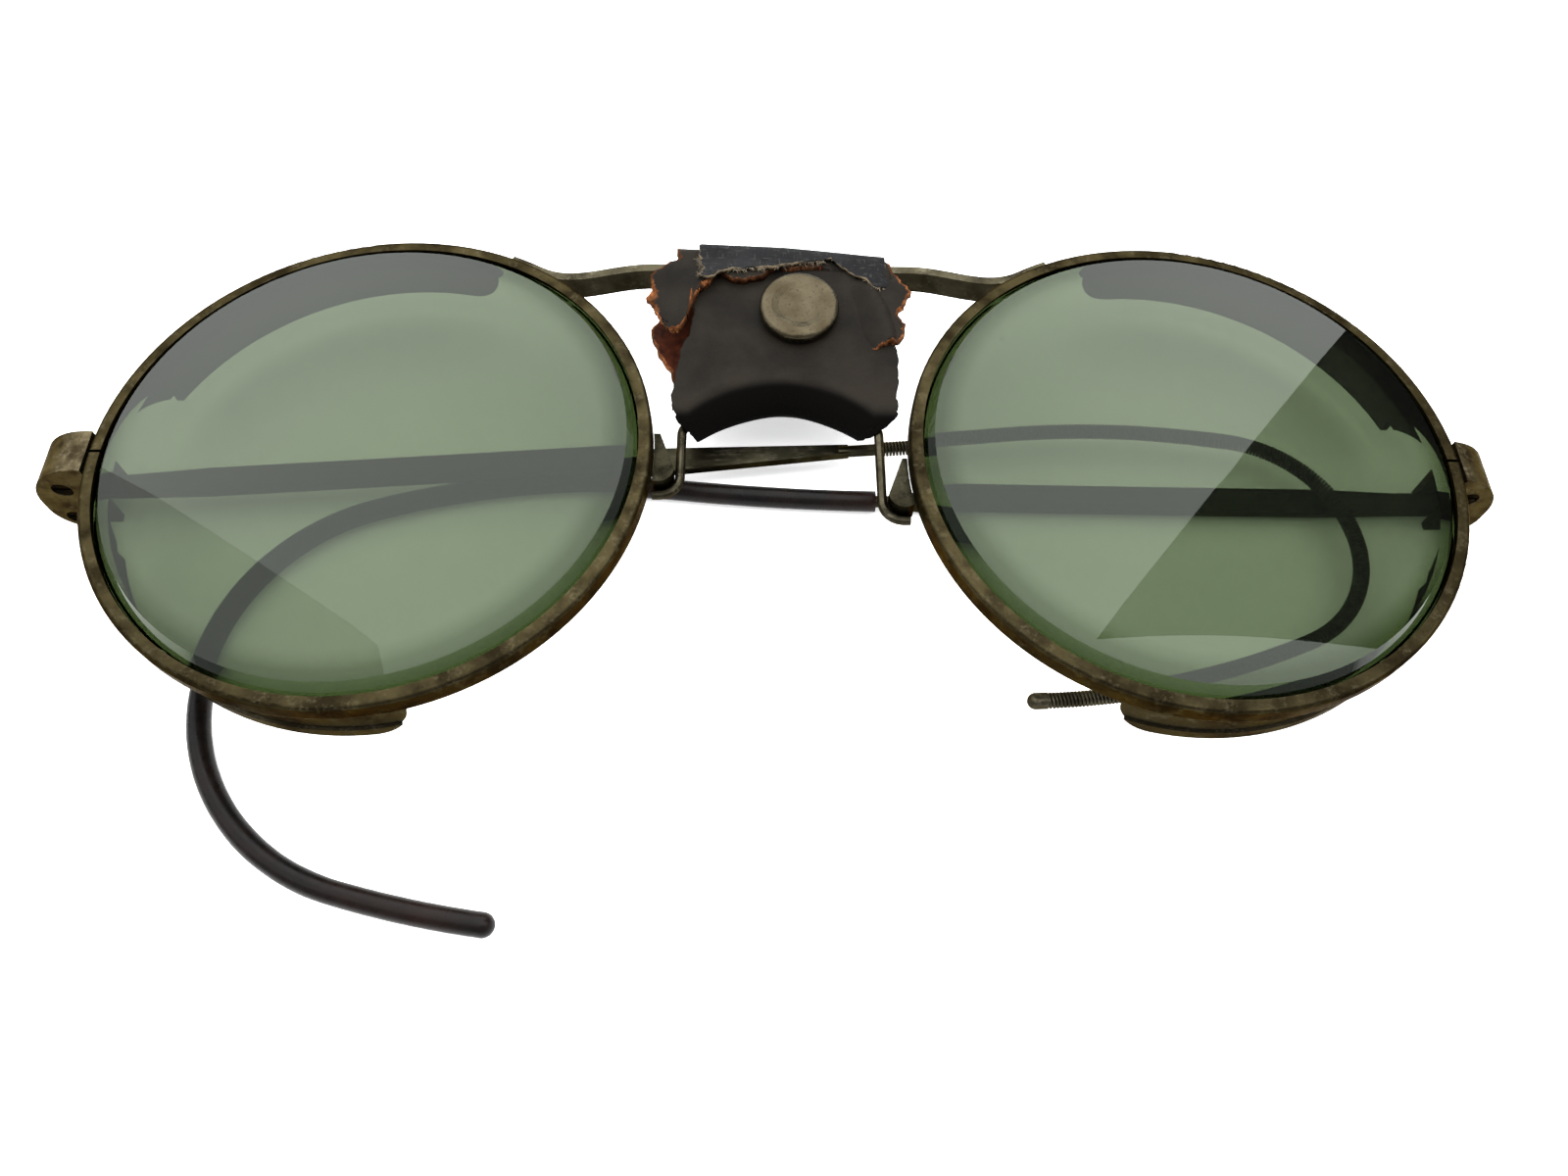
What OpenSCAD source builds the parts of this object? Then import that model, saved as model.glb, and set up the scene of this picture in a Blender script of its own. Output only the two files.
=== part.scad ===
// Round-lens safety spectacles: two glass lenses in grooved rims, side shields, hinged cable
// temples folded under the lenses, and a leather nose guard closed by a snap fastener.
// They lie lens up on the folded temples. +X is the side called right, +Y runs from the nose
// to the brow bar, +Z up out of the lenses, and z = 0 is the table they lie on.

/* [Lenses] */
// Diameter of each glass lens
lens_d = 50; // [46:0.5:54]
// Thickness of the glass at its middle
lens_t = 3; // [2.6:0.1:3.4]
// Radius of the curve of both lens faces
lens_curve_r = 400; // [300:10:900]
// Width of the bevel round the edge of the glass
bevel_w = 1.6; // [1.2:0.1:2.4]
// Distance between the two lenses across the nose
bridge_gap = 24.6; // [22:0.1:30]
// Tilt of each lens towards its temple, in degrees
wrap_angle = 1.55; // [0:0.05:2.5]
// Height of the lens plane above the table
lens_plane_z = 9.4; // [9.2:0.1:12]

/* [Rims] */
// Height of the rim's front face above the middle of the lens edge
rim_front = 0.95; // [0.8:0.05:1.4]
// Depth of the rim's back face below the middle of the lens edge
rim_back = 1.25; // [1.2:0.05:1.6]
// Metal outside the lens groove
rim_wall = 0.55; // [0.4:0.05:0.9]
// Thickness of the two lips of the groove
lip_t = 0.3; // [0.2:0.05:0.35]
// How far the front lip covers the edge of the lens
front_lip = 0.6; // [0.4:0.05:0.8]
// Play of the lens in its groove, all round
lens_play = 0.05; // [0.03:0.01:0.1]
// Gap where the rim is split behind the endpiece
rim_split = 0.3; // [0.2:0.05:0.5]

/* [Side shields] */
// Depth of the shield below the lens plane
shield_depth = 6.3; // [5.4:0.1:7.2]
// Thickness of the shield sheet
shield_t = 0.3; // [0.2:0.05:0.4]
// Width of the folded hem along the back edge
hem_w = 1.2; // [0.8:0.1:1.8]
// Half of the arc that the shield covers, in degrees
shield_half_arc = 107; // [95:1:115]
// Radius of the rounded nasal corners
shield_corner_r = 3.6; // [2:0.1:4]
// Turn of the left shield in its rim, in degrees
left_shield_turn = 3.2; // [-4:0.1:4]
// Turn of the right shield in its rim, in degrees
right_shield_turn = -3; // [-4:0.1:4]
// Radius of the arch cut out for the temple
arch_r = 11.4; // [10.5:0.1:13]
// Depth of the arch's crown below the lens plane
arch_top = 1.5; // [1.4:0.1:2.4]
// Half width of the cut in the hem, across the temple
arch_half_w = 9.1; // [8:0.1:10]

/* [Endpieces and hinges] */
// Width of the left endpiece, outward from the rim
left_endpiece_w = 6; // [5.6:0.1:7]
// Width of the right endpiece, outward from the rim
right_endpiece_w = 4.6; // [4.4:0.1:6]
// Thickness of the endpiece across the temple
endpiece_t = 4.4; // [4:0.1:5]
// Height of the endpiece's front face above the lens plane
endpiece_front = 0.3; // [0:0.1:0.6]
// Sheet thickness of the endpiece's front and cheeks
endpiece_wall = 0.75; // [0.6:0.05:0.85]
// Radius of the endpiece's front corner
endpiece_front_r = 5.4; // [4:0.1:6]
// Radius of the endpiece's back corner
endpiece_back_r = 3.2; // [2.6:0.1:3.4]
// Height of the hinge pin above the table
hinge_z = 1.9; // [1.8:0.05:2.2]
// Distance of the hinge pin from the endpiece's outer face
hinge_inset = 2; // [2:0.05:2.3]
// Radius of the rolled eye of the temple
eye_r = 1.3; // [1.1:0.05:1.4]
// Shank diameter of the hinge screws
hinge_screw_d = 1; // [0.8:0.05:1.2]
// Shank diameter of the rim screws
rim_screw_d = 1.1; // [0.9:0.05:1.3]
// Distance of the rim screw from the endpiece's outer face
rim_screw_inset = 2.9; // [2.8:0.05:3]
// Depth of the rim screw below the lens plane
rim_screw_depth = 2.9; // [2.8:0.05:3]
// Head diameter of all four screws
screw_head_d = 1.8; // [1.6:0.05:2]
// Thickness of the screw heads
screw_head_t = 0.4; // [0.3:0.05:0.5]
// Running clearance of pins in their bores
pin_play = 0.04; // [0.02:0.01:0.08]

/* [Temples] */
// Width of the flat temple bar
bar_w = 2.7; // [2.2:0.1:3.4]
// Thickness of the flat temple bar
bar_t = 0.9; // [0.7:0.05:1]
// Width of the bar and its eye inside the endpiece
neck_w = 2.1; // [1.8:0.05:2.2]
// Distance from the hinge pin at which the bar starts to widen
neck_l = 5.5; // [5:0.1:8]
// Distance from the hinge pin at which the bar is at full width
shoulder_l = 13; // [10:0.5:18]
// Sideways step of each bar's middle from its hinge pin
bar_step = 0.85; // [0.8:0.05:0.85]
// Diameter of the round wire behind the taper
wire_d = 1.15; // [1:0.05:1.3]
// Length of the left bar from its hinge pin to the cable
left_bar_l = 77.5; // [76:0.5:80]
// Angle of the left bar towards the brow when folded, in degrees
left_bar_angle = 4.6; // [4.3:0.1:4.9]
// Length of the right bar from its hinge pin to the sheath
right_bar_l = 56.2; // [55:0.1:59]
// Angle of the right bar towards the brow when folded, in degrees
right_bar_angle = 0.8; // [0.6:0.1:1]
// Length of the left bar's taper from flat to round wire
left_taper_l = 18; // [12:0.5:18]
// Length of the right bar's taper from flat to round wire
right_taper_l = 6.5; // [4:0.5:7]
// Length of the left bar's round wire between its taper and the cable
left_wire_l = 3.5; // [2:0.5:9]
// Length of the right bar's round wire between its taper and the sheath
right_wire_l = 1.3; // [1:0.1:4]

/* [Cable ends] */
// Diameter of the core wire inside the winding
core_d = 0.7; // [0.5:0.05:0.8]
// Outer diameter of the close-wound cable
cable_d = 1.5; // [1.3:0.05:1.7]
// Outer diameter of the right cable's sheath
sheath_d = 2.1; // [1.9:0.05:2.1]
// Length of the bare left cable
left_cable_l = 89; // [84:1:94]
// Length of the sheathed right cable
right_cable_l = 109.7; // [105:0.1:115]
// Clearance between core, winding and sheath
cable_play = 0.03; // [0.02:0.01:0.05]
// Length of the cap on the end of the bare cable
tip_l = 1.8; // [1.7:0.1:2.4]

/* [Bridge] */
// Height of the brow bar on edge
brow_h = 2.6; // [2:0.1:3]
// Thickness of the brow bar
brow_t = 0.9; // [0.7:0.05:1]
// Depth of the brow bar's middle below the lens plane
brow_depth = 1.1; // [0.9:0.05:1.3]
// Distance of the brow bar's middle line below the top of the lenses
brow_drop = 1.9; // [1.4:0.1:2.4]
// Half length of the brow bar's straight middle
brow_straight = 13; // [12.8:0.1:14]
// Angle round the rim at which the brow bar meets it, in degrees
brow_meet = 60; // [57:1:64]
// Arc over which the brow bar hugs the rim, in degrees
brow_hug = 7; // [4:1:10]
// Diameter of the saddle wire
saddle_d = 0.9; // [0.8:0.05:1]
// Distance of the saddle's crown from the line of the lens centres
saddle_y = 8.4; // [7.8:0.1:9]
// Depth of the saddle wire below the lens plane
saddle_depth = 1.8; // [1.7:0.05:2]
// Radius of the saddle's arch
saddle_r = 12.8; // [12:0.1:14]
// Angle over which each half of the arch runs, in degrees
saddle_arc = 44; // [40:1:46]
// Radius of the bends below the arch
saddle_bend_r = 1.4; // [1:0.1:2]
// Height of the left lug's middle, towards the brow
left_lug_y = 0.2; // [-1:0.1:1]
// Height of the right lug's middle, towards the brow
right_lug_y = -2.4; // [-3.2:0.1:-1.6]
// Length of each lug along the rim
lug_l = 5.2; // [4.6:0.1:6]
// Thickness of each lug
lug_t = 2; // [1.9:0.1:2.2]

/* [Leather guard and snap] */
// Thickness of the leather
leather_t = 0.85; // [0.8:0.05:1.1]
// Gap between the leather and the metal inside it
leather_play = 0.15; // [0.1:0.01:0.3]
// How far the hide's fold hangs below the saddle wire
fold_slack = 1.4; // [0.8:0.1:1.8]
// Reach of the front layer to the left
front_left = 9.4; // [8.8:0.1:10]
// Reach of the front layer to the right
front_right = 11.2; // [10:0.1:11.6]
// Reach of the bottom fold to each side
fold_half_w = 8.4; // [7.6:0.1:8.5]
// Reach of the back layer to the left
back_left = 12.6; // [11:0.1:13]
// Reach of the back layer to the right
back_right = 12.2; // [11:0.1:13]
// Length of the torn flap that folds over the top
flap_l = 1.7; // [1:0.1:1.8]
// Depth of the ragged edges
ragged = 0.35; // [0:0.05:0.5]
// Diameter of the snap's cap
cap_d = 7.8; // [7:0.1:9]
// Thickness of the snap's cap
cap_t = 1.3; // [1:0.05:1.6]
// Distance of the snap from the left-right middle
snap_x = 1.8; // [0:0.1:2.4]
// Distance of the snap below the middle line of the brow bar
snap_drop = 6.1; // [5.5:0.1:7]
// Diameter of the snap's socket ring
socket_d = 6; // [5.4:0.1:6.6]
// Diameter of the knob on the snap's stud
knob_d = 3.2; // [2.8:0.1:3.4]

/* [Hidden] */

left = -1;
right = 1;
$fn = 96;
eps = 0.01;
metal = [0.42, 0.38, 0.30];
dull_metal = [0.33, 0.31, 0.26];
glass = [0.66, 0.78, 0.68, 0.6];
leather_colour = [0.19, 0.16, 0.15];
sheath_colour = [0.13, 0.08, 0.07];

// Rims and lenses, with z = 0 at the middle of the lens edge
lens_r = lens_d / 2;
half_pitch = (lens_d + bridge_gap) / 2;
groove_r = lens_r + lens_play;
rim_r = groove_r + rim_wall;
front_lip_r = lens_r - front_lip;
back_lip_r = lens_r - shield_t;
rim_round_r = 0.4;
edge_land = 0.28;
lens_apex = lens_curve_r - sqrt(pow(lens_curve_r, 2) - pow(lens_r, 2));
lens_fn = 1440;

// Side shields, seated in the back of the groove under the lens
shield_r = back_lip_r - 0.08;
shield_in_r = shield_r - shield_t;
shield_top = -rim_back + lip_t + shield_t + 0.02;
hem_step = 0.2;

// Endpieces and hinges, in the frame of the spectacles
endpiece_gap = 0.1;
endpiece_in_x = half_pitch + rim_r + endpiece_gap;
endpiece_top = lens_plane_z + endpiece_front;
rim_screw_z = lens_plane_z - rim_screw_depth;
slot_w = endpiece_t - 2 * endpiece_wall;
lug_play = 0.04;
front_stop_z = hinge_z + 0.9;
clamp_r = 1.05;
clamp_web = 0.8;

// Round tubes that bend: sides of a tube, and degrees of bend between its rings
tube_sides = 14;
bend_step = 8;
sheath_end = 0.6;

// Resting shape of each cable, from the bar's end: share of its length and turn of each stretch
left_cable_run = run_scaled([[0.128, 1.7], [0.256, -16], [0.183, -76], [0.15, -71], [0.283, -21]],
    left_cable_l);
right_cable_run = run_scaled([[0.173, 5.2], [0.269, -24.1], [0.303, -102.4], [0.144, -43.7],
    [0.111, -7.6]], right_cable_l);

// Bridge: the saddle wire arches, bends down into a straight leg and hooks round its lug
brow_y = lens_r - brow_drop;
snap_y = brow_y - snap_drop;
brow_z = lens_plane_z - brow_depth;
saddle_z = lens_plane_z - saddle_depth;
brow_path_r = rim_r + brow_t / 2 + 0.04;
brow_handle = 4.2;
brow_steps = 16;
saddle_hook_r = 1.9;
saddle_foot = 0.6;
saddle_leg_x = saddle_r * sin(saddle_arc) + saddle_bend_r * (1 - sin(saddle_arc));
saddle_leg_y = saddle_arch_y(saddle_r) - saddle_bend_r * cos(saddle_arc);
lug_end_r = saddle_hook_r - saddle_d / 2 - 0.03;

// Leather: rolls round the saddle wire and the brow bar, measured to the middle of the hide
wire_ease = 0.06;
wire_roll_r = saddle_d / 2 + leather_play + wire_ease + leather_t / 2;
bar_ease = 0.12;
bar_roll_y = brow_t / 2 + leather_play + bar_ease + leather_t / 2;
bar_roll_z = brow_h / 2 + leather_play + bar_ease + leather_t / 2;
flap_lift = leather_t + 0.06;
leather_sides = 17;

// Snap: slope of the front layer, and the hollow between the two layers on the snap's axis
hide_slope = atan2(brow_z + bar_roll_z - saddle_z - wire_roll_r, brow_y - saddle_arch_y(snap_x));
snap_mid_z = saddle_z + wire_roll_r + (snap_y - saddle_arch_y(snap_x)) * tan(hide_slope);
fold_low_z = saddle_z - wire_roll_r - fold_slack;
back_mid_z = fold_low_z + (snap_y - saddle_arch_y(snap_x)) / (brow_y - saddle_arch_y(snap_x))
    * (brow_z - bar_roll_z - fold_low_z);
hide_gap = snap_mid_z - back_mid_z - leather_t;
snap_seat = 0.06;
tilt_room = 0.36;
barrel_d = 1.8;
barrel_reach = 0.4;
socket_h = 1;
socket_web = 0.4;
stud_base_t = 0.4;
stud_play = 0.1;
stud_z = -leather_t - hide_gap + tilt_room;
stud_h = hide_gap - tilt_room - snap_seat - socket_web - stud_play;
post_d = 1.6;
post_z = -2 * leather_t - hide_gap - tilt_room;

// Points of the hide along its section, counted from the front layer's top edge
front_steps = 8;
roll_steps = 6;
back_steps = 6;
flap_steps = 3;
wrap_steps = front_steps + roll_steps + back_steps + roll_steps + flap_steps;

// Middle of the saddle's arch at a distance x from the middle
function saddle_arch_y(x) =
    let (reach = min(abs(x), saddle_r * sin(saddle_arc)))
    saddle_y - saddle_r + sqrt(pow(saddle_r, 2) - pow(reach, 2));

// Outer face, hinge pin and rim screw of an endpiece, as distances from the middle
function endpiece_out_x(side) = endpiece_in_x + (side == left ? left_endpiece_w : right_endpiece_w);
function hinge_x(side) = endpiece_out_x(side) - hinge_inset;
function rim_screw_x(side) = endpiece_out_x(side) - rim_screw_inset;

// Run with its stretches, given as shares, brought to a length
function run_scaled(shares, l) = [for (s = shares) [s[0] * l, s[1]]];

// End point and heading after one stretch of a run that starts along +X
function stretch_end(l, a) =
    a == 0 ? [l, 0] : let (r = l / (a * PI / 180)) [r * sin(a), r * (1 - cos(a))];

// Total turn of a run up to stretch n
function run_turn(run, n) = n == 0 ? 0 : run_turn(run, n - 1) + run[n - 1][1];

// End point of the first n stretches of a run
function run_end(run, n) =
    n == 0 ? [0, 0] :
    let (before = run_end(run, n - 1), h = run_turn(run, n - 1),
         step = stretch_end(run[n - 1][0], run[n - 1][1]))
    before + [step[0] * cos(h) - step[1] * sin(h), step[0] * sin(h) + step[1] * cos(h)];

// Cubic curve through four control points, at t from 0 to 1
function bezier(p, t) =
    pow(1 - t, 3) * p[0] + 3 * pow(1 - t, 2) * t * p[1] + 3 * (1 - t) * t * t * p[2] + pow(t, 3) * p[3];
function bezier_tangent(p, t) =
    3 * pow(1 - t, 2) * (p[1] - p[0]) + 6 * (1 - t) * t * (p[2] - p[1]) + 3 * t * t * (p[3] - p[2]);
function unit(v) = v / norm(v);
function normal2(v) = [-unit(v)[1], unit(v)[0]];

// Points along a run, as [x, y, heading], close enough to keep its bends round
function run_points(run) = [
    for (i = [0 : len(run) - 1])
        let (l = run[i][0], a = run[i][1], at = run_end(run, i), h = run_turn(run, i),
             steps = max(1, ceil(abs(a) / bend_step)))
        for (k = [0 : steps - 1])
            let (p = stretch_end(l * k / steps, a * k / steps))
            [at[0] + p[0] * cos(h) - p[1] * sin(h), at[1] + p[0] * sin(h) + p[1] * cos(h),
             h + a * k / steps],
    [run_end(run, len(run))[0], run_end(run, len(run))[1], run_turn(run, len(run))]
];

// Ring of a tube round the point p = [x, y, heading]
function ring(p, r) = [for (j = [0 : tube_sides - 1]) let (a = 360 * j / tube_sides)
    [p[0] - r * cos(a) * sin(p[2]), p[1] + r * cos(a) * cos(p[2]), r * sin(a)]];

// Rings of a tube along a run, in their order or backwards
function rings(run, r) = [for (p = run_points(run)) ring(p, r)];
function backwards(list) = [for (i = [len(list) - 1 : -1 : 0]) list[i]];

// Solid skin over a chain of rings, either joined into a loop or capped at both ends
module skin(chain, looped) {
    n = len(chain);
    m = tube_sides;
    last = looped ? n - 1 : n - 2;
    at = function(k, j) (k % n) * m + j % m;
    walls = [for (k = [0 : last]) for (j = [0 : m - 1]) each [
        [at(k, j), at(k + 1, j), at(k + 1, j + 1)], [at(k, j), at(k + 1, j + 1), at(k, j + 1)]]];
    caps = looped ? [] : [[for (j = [0 : m - 1]) j], [for (j = [m - 1 : -1 : 0]) at(n - 1, j)]];
    polyhedron([for (r = chain) each r], concat(walls, caps), convexity = 8);
}

// Places a child built round the lens centre, with +X towards the temple of that side
module at_rim(side) {
    translate([side * half_pitch, 0, lens_plane_z]) rotate([0, side * wrap_angle, 0])
        mirror([side == left ? 1 : 0, 0, 0]) children();
}

// Mirrors a child built for the right side
module on_side(side) {
    mirror([side == left ? 1 : 0, 0, 0]) children();
}

// Places a child built with the temple running along +X from the hinge pin
module at_hinge(side) {
    translate([side * hinge_x(side), 0, hinge_z]) mirror([side == right ? 1 : 0, 0, 0]) children();
}

module lens(side) {
    bevel_r = lens_r - bevel_w;
    drop = lens_curve_r - sqrt(pow(lens_curve_r, 2) - pow(bevel_r, 2));
    front_z = lens_apex - drop + lens_t / 2;
    back_z = lens_apex - drop - lens_t / 2;
    shoulder_r = front_lip_r - 0.1;
    color(glass) at_rim(side) rotate_extrude($fn = 180) difference() {
        intersection() {
            polygon([
                [0, -lens_t * 2], [bevel_r, -lens_t * 2], [bevel_r, back_z],
                [shield_in_r - 0.07, shield_top + 0.1], [lens_r, -edge_land], [lens_r, edge_land],
                [shoulder_r, rim_front - lip_t - 0.1], [bevel_r, front_z],
                [bevel_r, lens_t * 2], [0, lens_t * 2]
            ]);
            translate([0, lens_apex + lens_t / 2 - lens_curve_r]) circle(lens_curve_r, $fn = lens_fn);
        }
        translate([0, lens_apex - lens_t / 2 - lens_curve_r]) circle(lens_curve_r, $fn = lens_fn);
    }
}

// Section of the rim: rounded outside, with a groove open to the middle
module rim_section() {
    round_x = rim_r - rim_round_r;
    difference() {
        union() {
            translate([front_lip_r, -rim_back]) square([round_x - front_lip_r, rim_front + rim_back]);
            translate([round_x, -rim_back + rim_round_r])
                square([rim_round_r, rim_front + rim_back - 2 * rim_round_r]);
            for (z = [-rim_back + rim_round_r, rim_front - rim_round_r])
                translate([round_x, z]) circle(rim_round_r, $fn = 48);
        }
        translate([front_lip_r - 1, -rim_back + lip_t])
            square([groove_r - front_lip_r + 1, rim_front + rim_back - 2 * lip_t]);
        translate([front_lip_r - 1, -rim_back - 1]) square([back_lip_r - front_lip_r + 1, lip_t + 1.5]);
    }
}

// Outline of the endpiece seen along the hinge pin, drawn inset by the given wall
module endpiece_outline(side, inset) {
    x = endpiece_out_x(side) - inset;
    start_x = endpiece_in_x - endpiece_front_r;
    w = x - start_x;
    bottom = inset;
    top = endpiece_top - inset;
    front_r = endpiece_front_r - inset;
    back_r = endpiece_back_r - inset;
    difference() {
        union() {
            translate([start_x, bottom]) square([w - back_r, back_r + eps]);
            translate([start_x, bottom + back_r]) square([w, top - bottom - back_r - front_r]);
            translate([start_x, top - front_r - eps]) square([w - front_r, front_r + eps]);
            translate([x - back_r, bottom + back_r]) circle(back_r);
            intersection() {
                translate([x - front_r, top - front_r]) circle(front_r);
                translate([x - front_r - eps, top - front_r - eps]) square(front_r + 1);
            }
        }
        translate([0, -1]) square([endpiece_in_x, endpiece_top + 2]);
    }
}

// Extrudes an outline drawn in x and z across the temple, centred on y = 0
module across(w) {
    rotate([90, 0, 0]) translate([0, 0, -w / 2]) linear_extrude(w) children();
}

// Pin along Y with its head sunk in the cheek that faces the nose
module pin_hole(x, z, d) {
    translate([x, 0, z]) rotate([90, 0, 0]) cylinder(d = d, h = endpiece_t + 2, center = true);
    translate([x, -endpiece_t / 2 + screw_head_t + 0.1, z]) rotate([90, 0, 0])
        cylinder(d = screw_head_d + 2 * pin_play, h = 2);
}

module screw(x, z, d) {
    head_y = -endpiece_t / 2 + 0.1;
    translate([x, 0, z]) rotate([90, 0, 0]) difference() {
        union() {
            translate([0, 0, -endpiece_t / 2]) cylinder(d = d, h = endpiece_t / 2 - head_y - eps);
            translate([0, 0, -head_y - screw_head_t]) cylinder(d = screw_head_d, h = screw_head_t);
        }
        translate([0, 0, -head_y]) cube([screw_head_d + 1, 0.3, 0.36], center = true);
    }
}

// The two clamp lugs at the split of the rim, inside the endpiece
module clamp_lugs(side) {
    screw_x = rim_screw_x(side);
    lug_w = slot_w / 2 - rim_split / 2 - lug_play;
    root_x = half_pitch + rim_r - rim_wall / 2;
    difference() {
        for (s = [-1, 1])
            translate([0, s * (rim_split / 2 + lug_w / 2), 0]) across(lug_w) {
                translate([screw_x, rim_screw_z]) circle(clamp_r, $fn = 48);
                translate([root_x, rim_screw_z - clamp_r])
                    square([screw_x - root_x, 2 * clamp_r]);
                translate([root_x, rim_screw_z])
                    square([rim_wall / 2 + clamp_web, lens_plane_z - rim_screw_z - 1]);
            }
        pin_hole(screw_x, rim_screw_z, rim_screw_d + 2 * pin_play);
    }
}

module eyewire(side) {
    color(metal) {
        difference() {
            at_rim(side) rotate_extrude($fn = 180) rim_section();
            on_side(side) translate([half_pitch + front_lip_r - 1, -rim_split / 2, 0])
                cube([rim_r - front_lip_r + 2, rim_split, 2 * lens_plane_z]);
        }
        on_side(side) clamp_lugs(side);
    }
}

// Rounds off the back corner at one end of the shield, at polar angle a
module shield_corner(a, s) {
    reach = lens_r - shield_in_r + 2;
    rotate([0, 0, a]) difference() {
        translate([shield_in_r - 1, s > 0 ? -shield_corner_r : -1, -shield_depth - 1])
            cube([reach, shield_corner_r + 1, shield_corner_r + 1]);
        translate([shield_in_r - 2, -s * shield_corner_r, -shield_depth + shield_corner_r])
            rotate([0, 90, 0]) cylinder(r = shield_corner_r, h = reach + 2);
    }
}

module shield(side) {
    turn = side == left ? left_shield_turn : right_shield_turn;
    color(dull_metal) at_rim(side) rotate([0, 0, turn])
        difference() {
            rotate([0, 0, -shield_half_arc]) rotate_extrude(angle = 2 * shield_half_arc, $fn = 180) {
                translate([shield_in_r, -shield_depth]) square([shield_t, shield_depth + shield_top]);
                translate([shield_in_r, shield_top - shield_t])
                    square([lens_r - shield_in_r, shield_t]);
                translate([shield_r - eps, -shield_depth]) square([shield_t + eps, hem_w]);
            }
            intersection() {
                translate([0, 0, -arch_top - arch_r]) rotate([0, 90, 0])
                    cylinder(r = arch_r, h = 2 * lens_r);
                translate([0, -arch_half_w, -shield_depth - 1])
                    cube([2 * lens_r, 2 * arch_half_w, shield_depth + 1]);
            }
            translate([0, -arch_half_w, -shield_depth - 1])
                cube([2 * lens_r, 2 * arch_half_w, hem_w + hem_step + 1]);
            for (s = [-1, 1]) shield_corner(s * shield_half_arc, s);
        }
}

module endpiece(side) {
    color(metal) on_side(side) difference() {
        across(endpiece_t) endpiece_outline(side, 0);
        across(slot_w) {
            endpiece_outline(side, endpiece_wall);
            translate([endpiece_in_x - 1, endpiece_wall])
                square([1 + eps, endpiece_top - 2 * endpiece_wall]);
            translate([endpiece_in_x - 1, -1])
                square([endpiece_out_x(side) - endpiece_in_x + 2, front_stop_z + 1]);
        }
        pin_hole(rim_screw_x(side), rim_screw_z, rim_screw_d + 2 * pin_play);
        pin_hole(hinge_x(side), hinge_z, hinge_screw_d + 2 * pin_play);
    }
}

module rim_screw(side) {
    color(dull_metal) on_side(side) screw(rim_screw_x(side), rim_screw_z, rim_screw_d);
}

module hinge_screw(side) {
    color(dull_metal) on_side(side) screw(hinge_x(side), hinge_z, hinge_screw_d);
}

// Sideways step of a bar's middle from its hinge pin: the left bar lies over the right one
function bar_rise(side) = side == left ? bar_step : -bar_step;

// Places a child behind the bar's straight neck, where the bar turns towards the brow
module behind_neck(side) {
    translate([neck_l, 0, bar_rise(side)])
        rotate([0, 0, side == left ? left_bar_angle : right_bar_angle]) children();
}

// Flat bar with a rolled eye at the hinge and a taper to round wire
module temple_bar(side) {
    bar_l = side == left ? left_bar_l : right_bar_l;
    taper = side == left ? left_taper_l : right_taper_l;
    wire_l = side == left ? left_wire_l : right_wire_l;
    flat_l = bar_l - wire_l - taper;
    half_outline = [
        [0, neck_w / 2], [shoulder_l - neck_l, bar_w / 2], [flat_l - neck_l, bar_w / 2],
        [flat_l + taper - neck_l, 0.45 * wire_d]
    ];
    color(metal) at_hinge(side) difference() {
        union() {
            rotate([90, 0, 0]) cylinder(r = eye_r, h = neck_w, center = true);
            translate([0, 0, bar_rise(side) - bar_t / 2]) linear_extrude(bar_t) {
                translate([0, -neck_w / 2]) square([neck_l, neck_w]);
                translate([neck_l, 0]) circle(d = neck_w);
            }
            behind_neck(side) {
                linear_extrude(bar_t, center = true)
                    polygon(concat(half_outline, [for (i = [len(half_outline) - 1 : -1 : 0])
                        [half_outline[i][0], -half_outline[i][1]]]));
                translate([bar_l - wire_l - neck_l - 1, 0, 0]) rotate([0, 90, 0])
                    cylinder(d = wire_d, h = wire_l + 1, $fn = 48);
            }
        }
        rotate([90, 0, 0]) cylinder(d = hinge_screw_d + 2 * pin_play, h = 2 * neck_w, center = true);
    }
}

// Places a child at the end of the bar, running on in the bar's direction
module at_cable(side) {
    bar_l = side == left ? left_bar_l : right_bar_l;
    at_hinge(side) behind_neck(side) translate([bar_l - neck_l, 0, 0]) children();
}

// Places a child at the far end of a cable, running on in its direction
module at_run_end(run) {
    translate(run_end(run, len(run))) rotate([0, 0, run_turn(run, len(run))]) children();
}

module cable_core(side) {
    run = side == left ? left_cable_run : right_cable_run;
    color(dull_metal) at_cable(side) skin(rings(run, core_d / 2), false);
}

module cable_winding(side) {
    run = side == left ? left_cable_run : right_cable_run;
    color(metal) at_cable(side)
        skin(concat(rings(run, cable_d / 2), backwards(rings(run, core_d / 2 + cable_play))), true);
}

module cable_tip(side) {
    color(metal) at_cable(side) at_run_end(left_cable_run) rotate([0, 90, 0]) {
        cylinder(d = cable_d, h = tip_l - cable_d / 2, $fn = 48);
        translate([0, 0, tip_l - cable_d / 2]) sphere(d = cable_d, $fn = 48);
    }
}

// Tube closed by a round end past the end of the cable
module cable_sheath(side) {
    run = right_cable_run;
    last = run_points(run)[len(run_points(run)) - 1];
    end_ring = function(a) ring([last[0] + (sheath_end + sheath_d / 2 * sin(a)) * cos(last[2]),
        last[1] + (sheath_end + sheath_d / 2 * sin(a)) * sin(last[2]), last[2]], sheath_d / 2 * cos(a));
    bore = rings(run, cable_d / 2 + cable_play);
    color(sheath_colour) at_cable(side)
        skin(concat(backwards(bore), rings(run, sheath_d / 2), [for (a = [0, 30, 55, 75]) end_ring(a)]),
            false);
}

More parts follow.
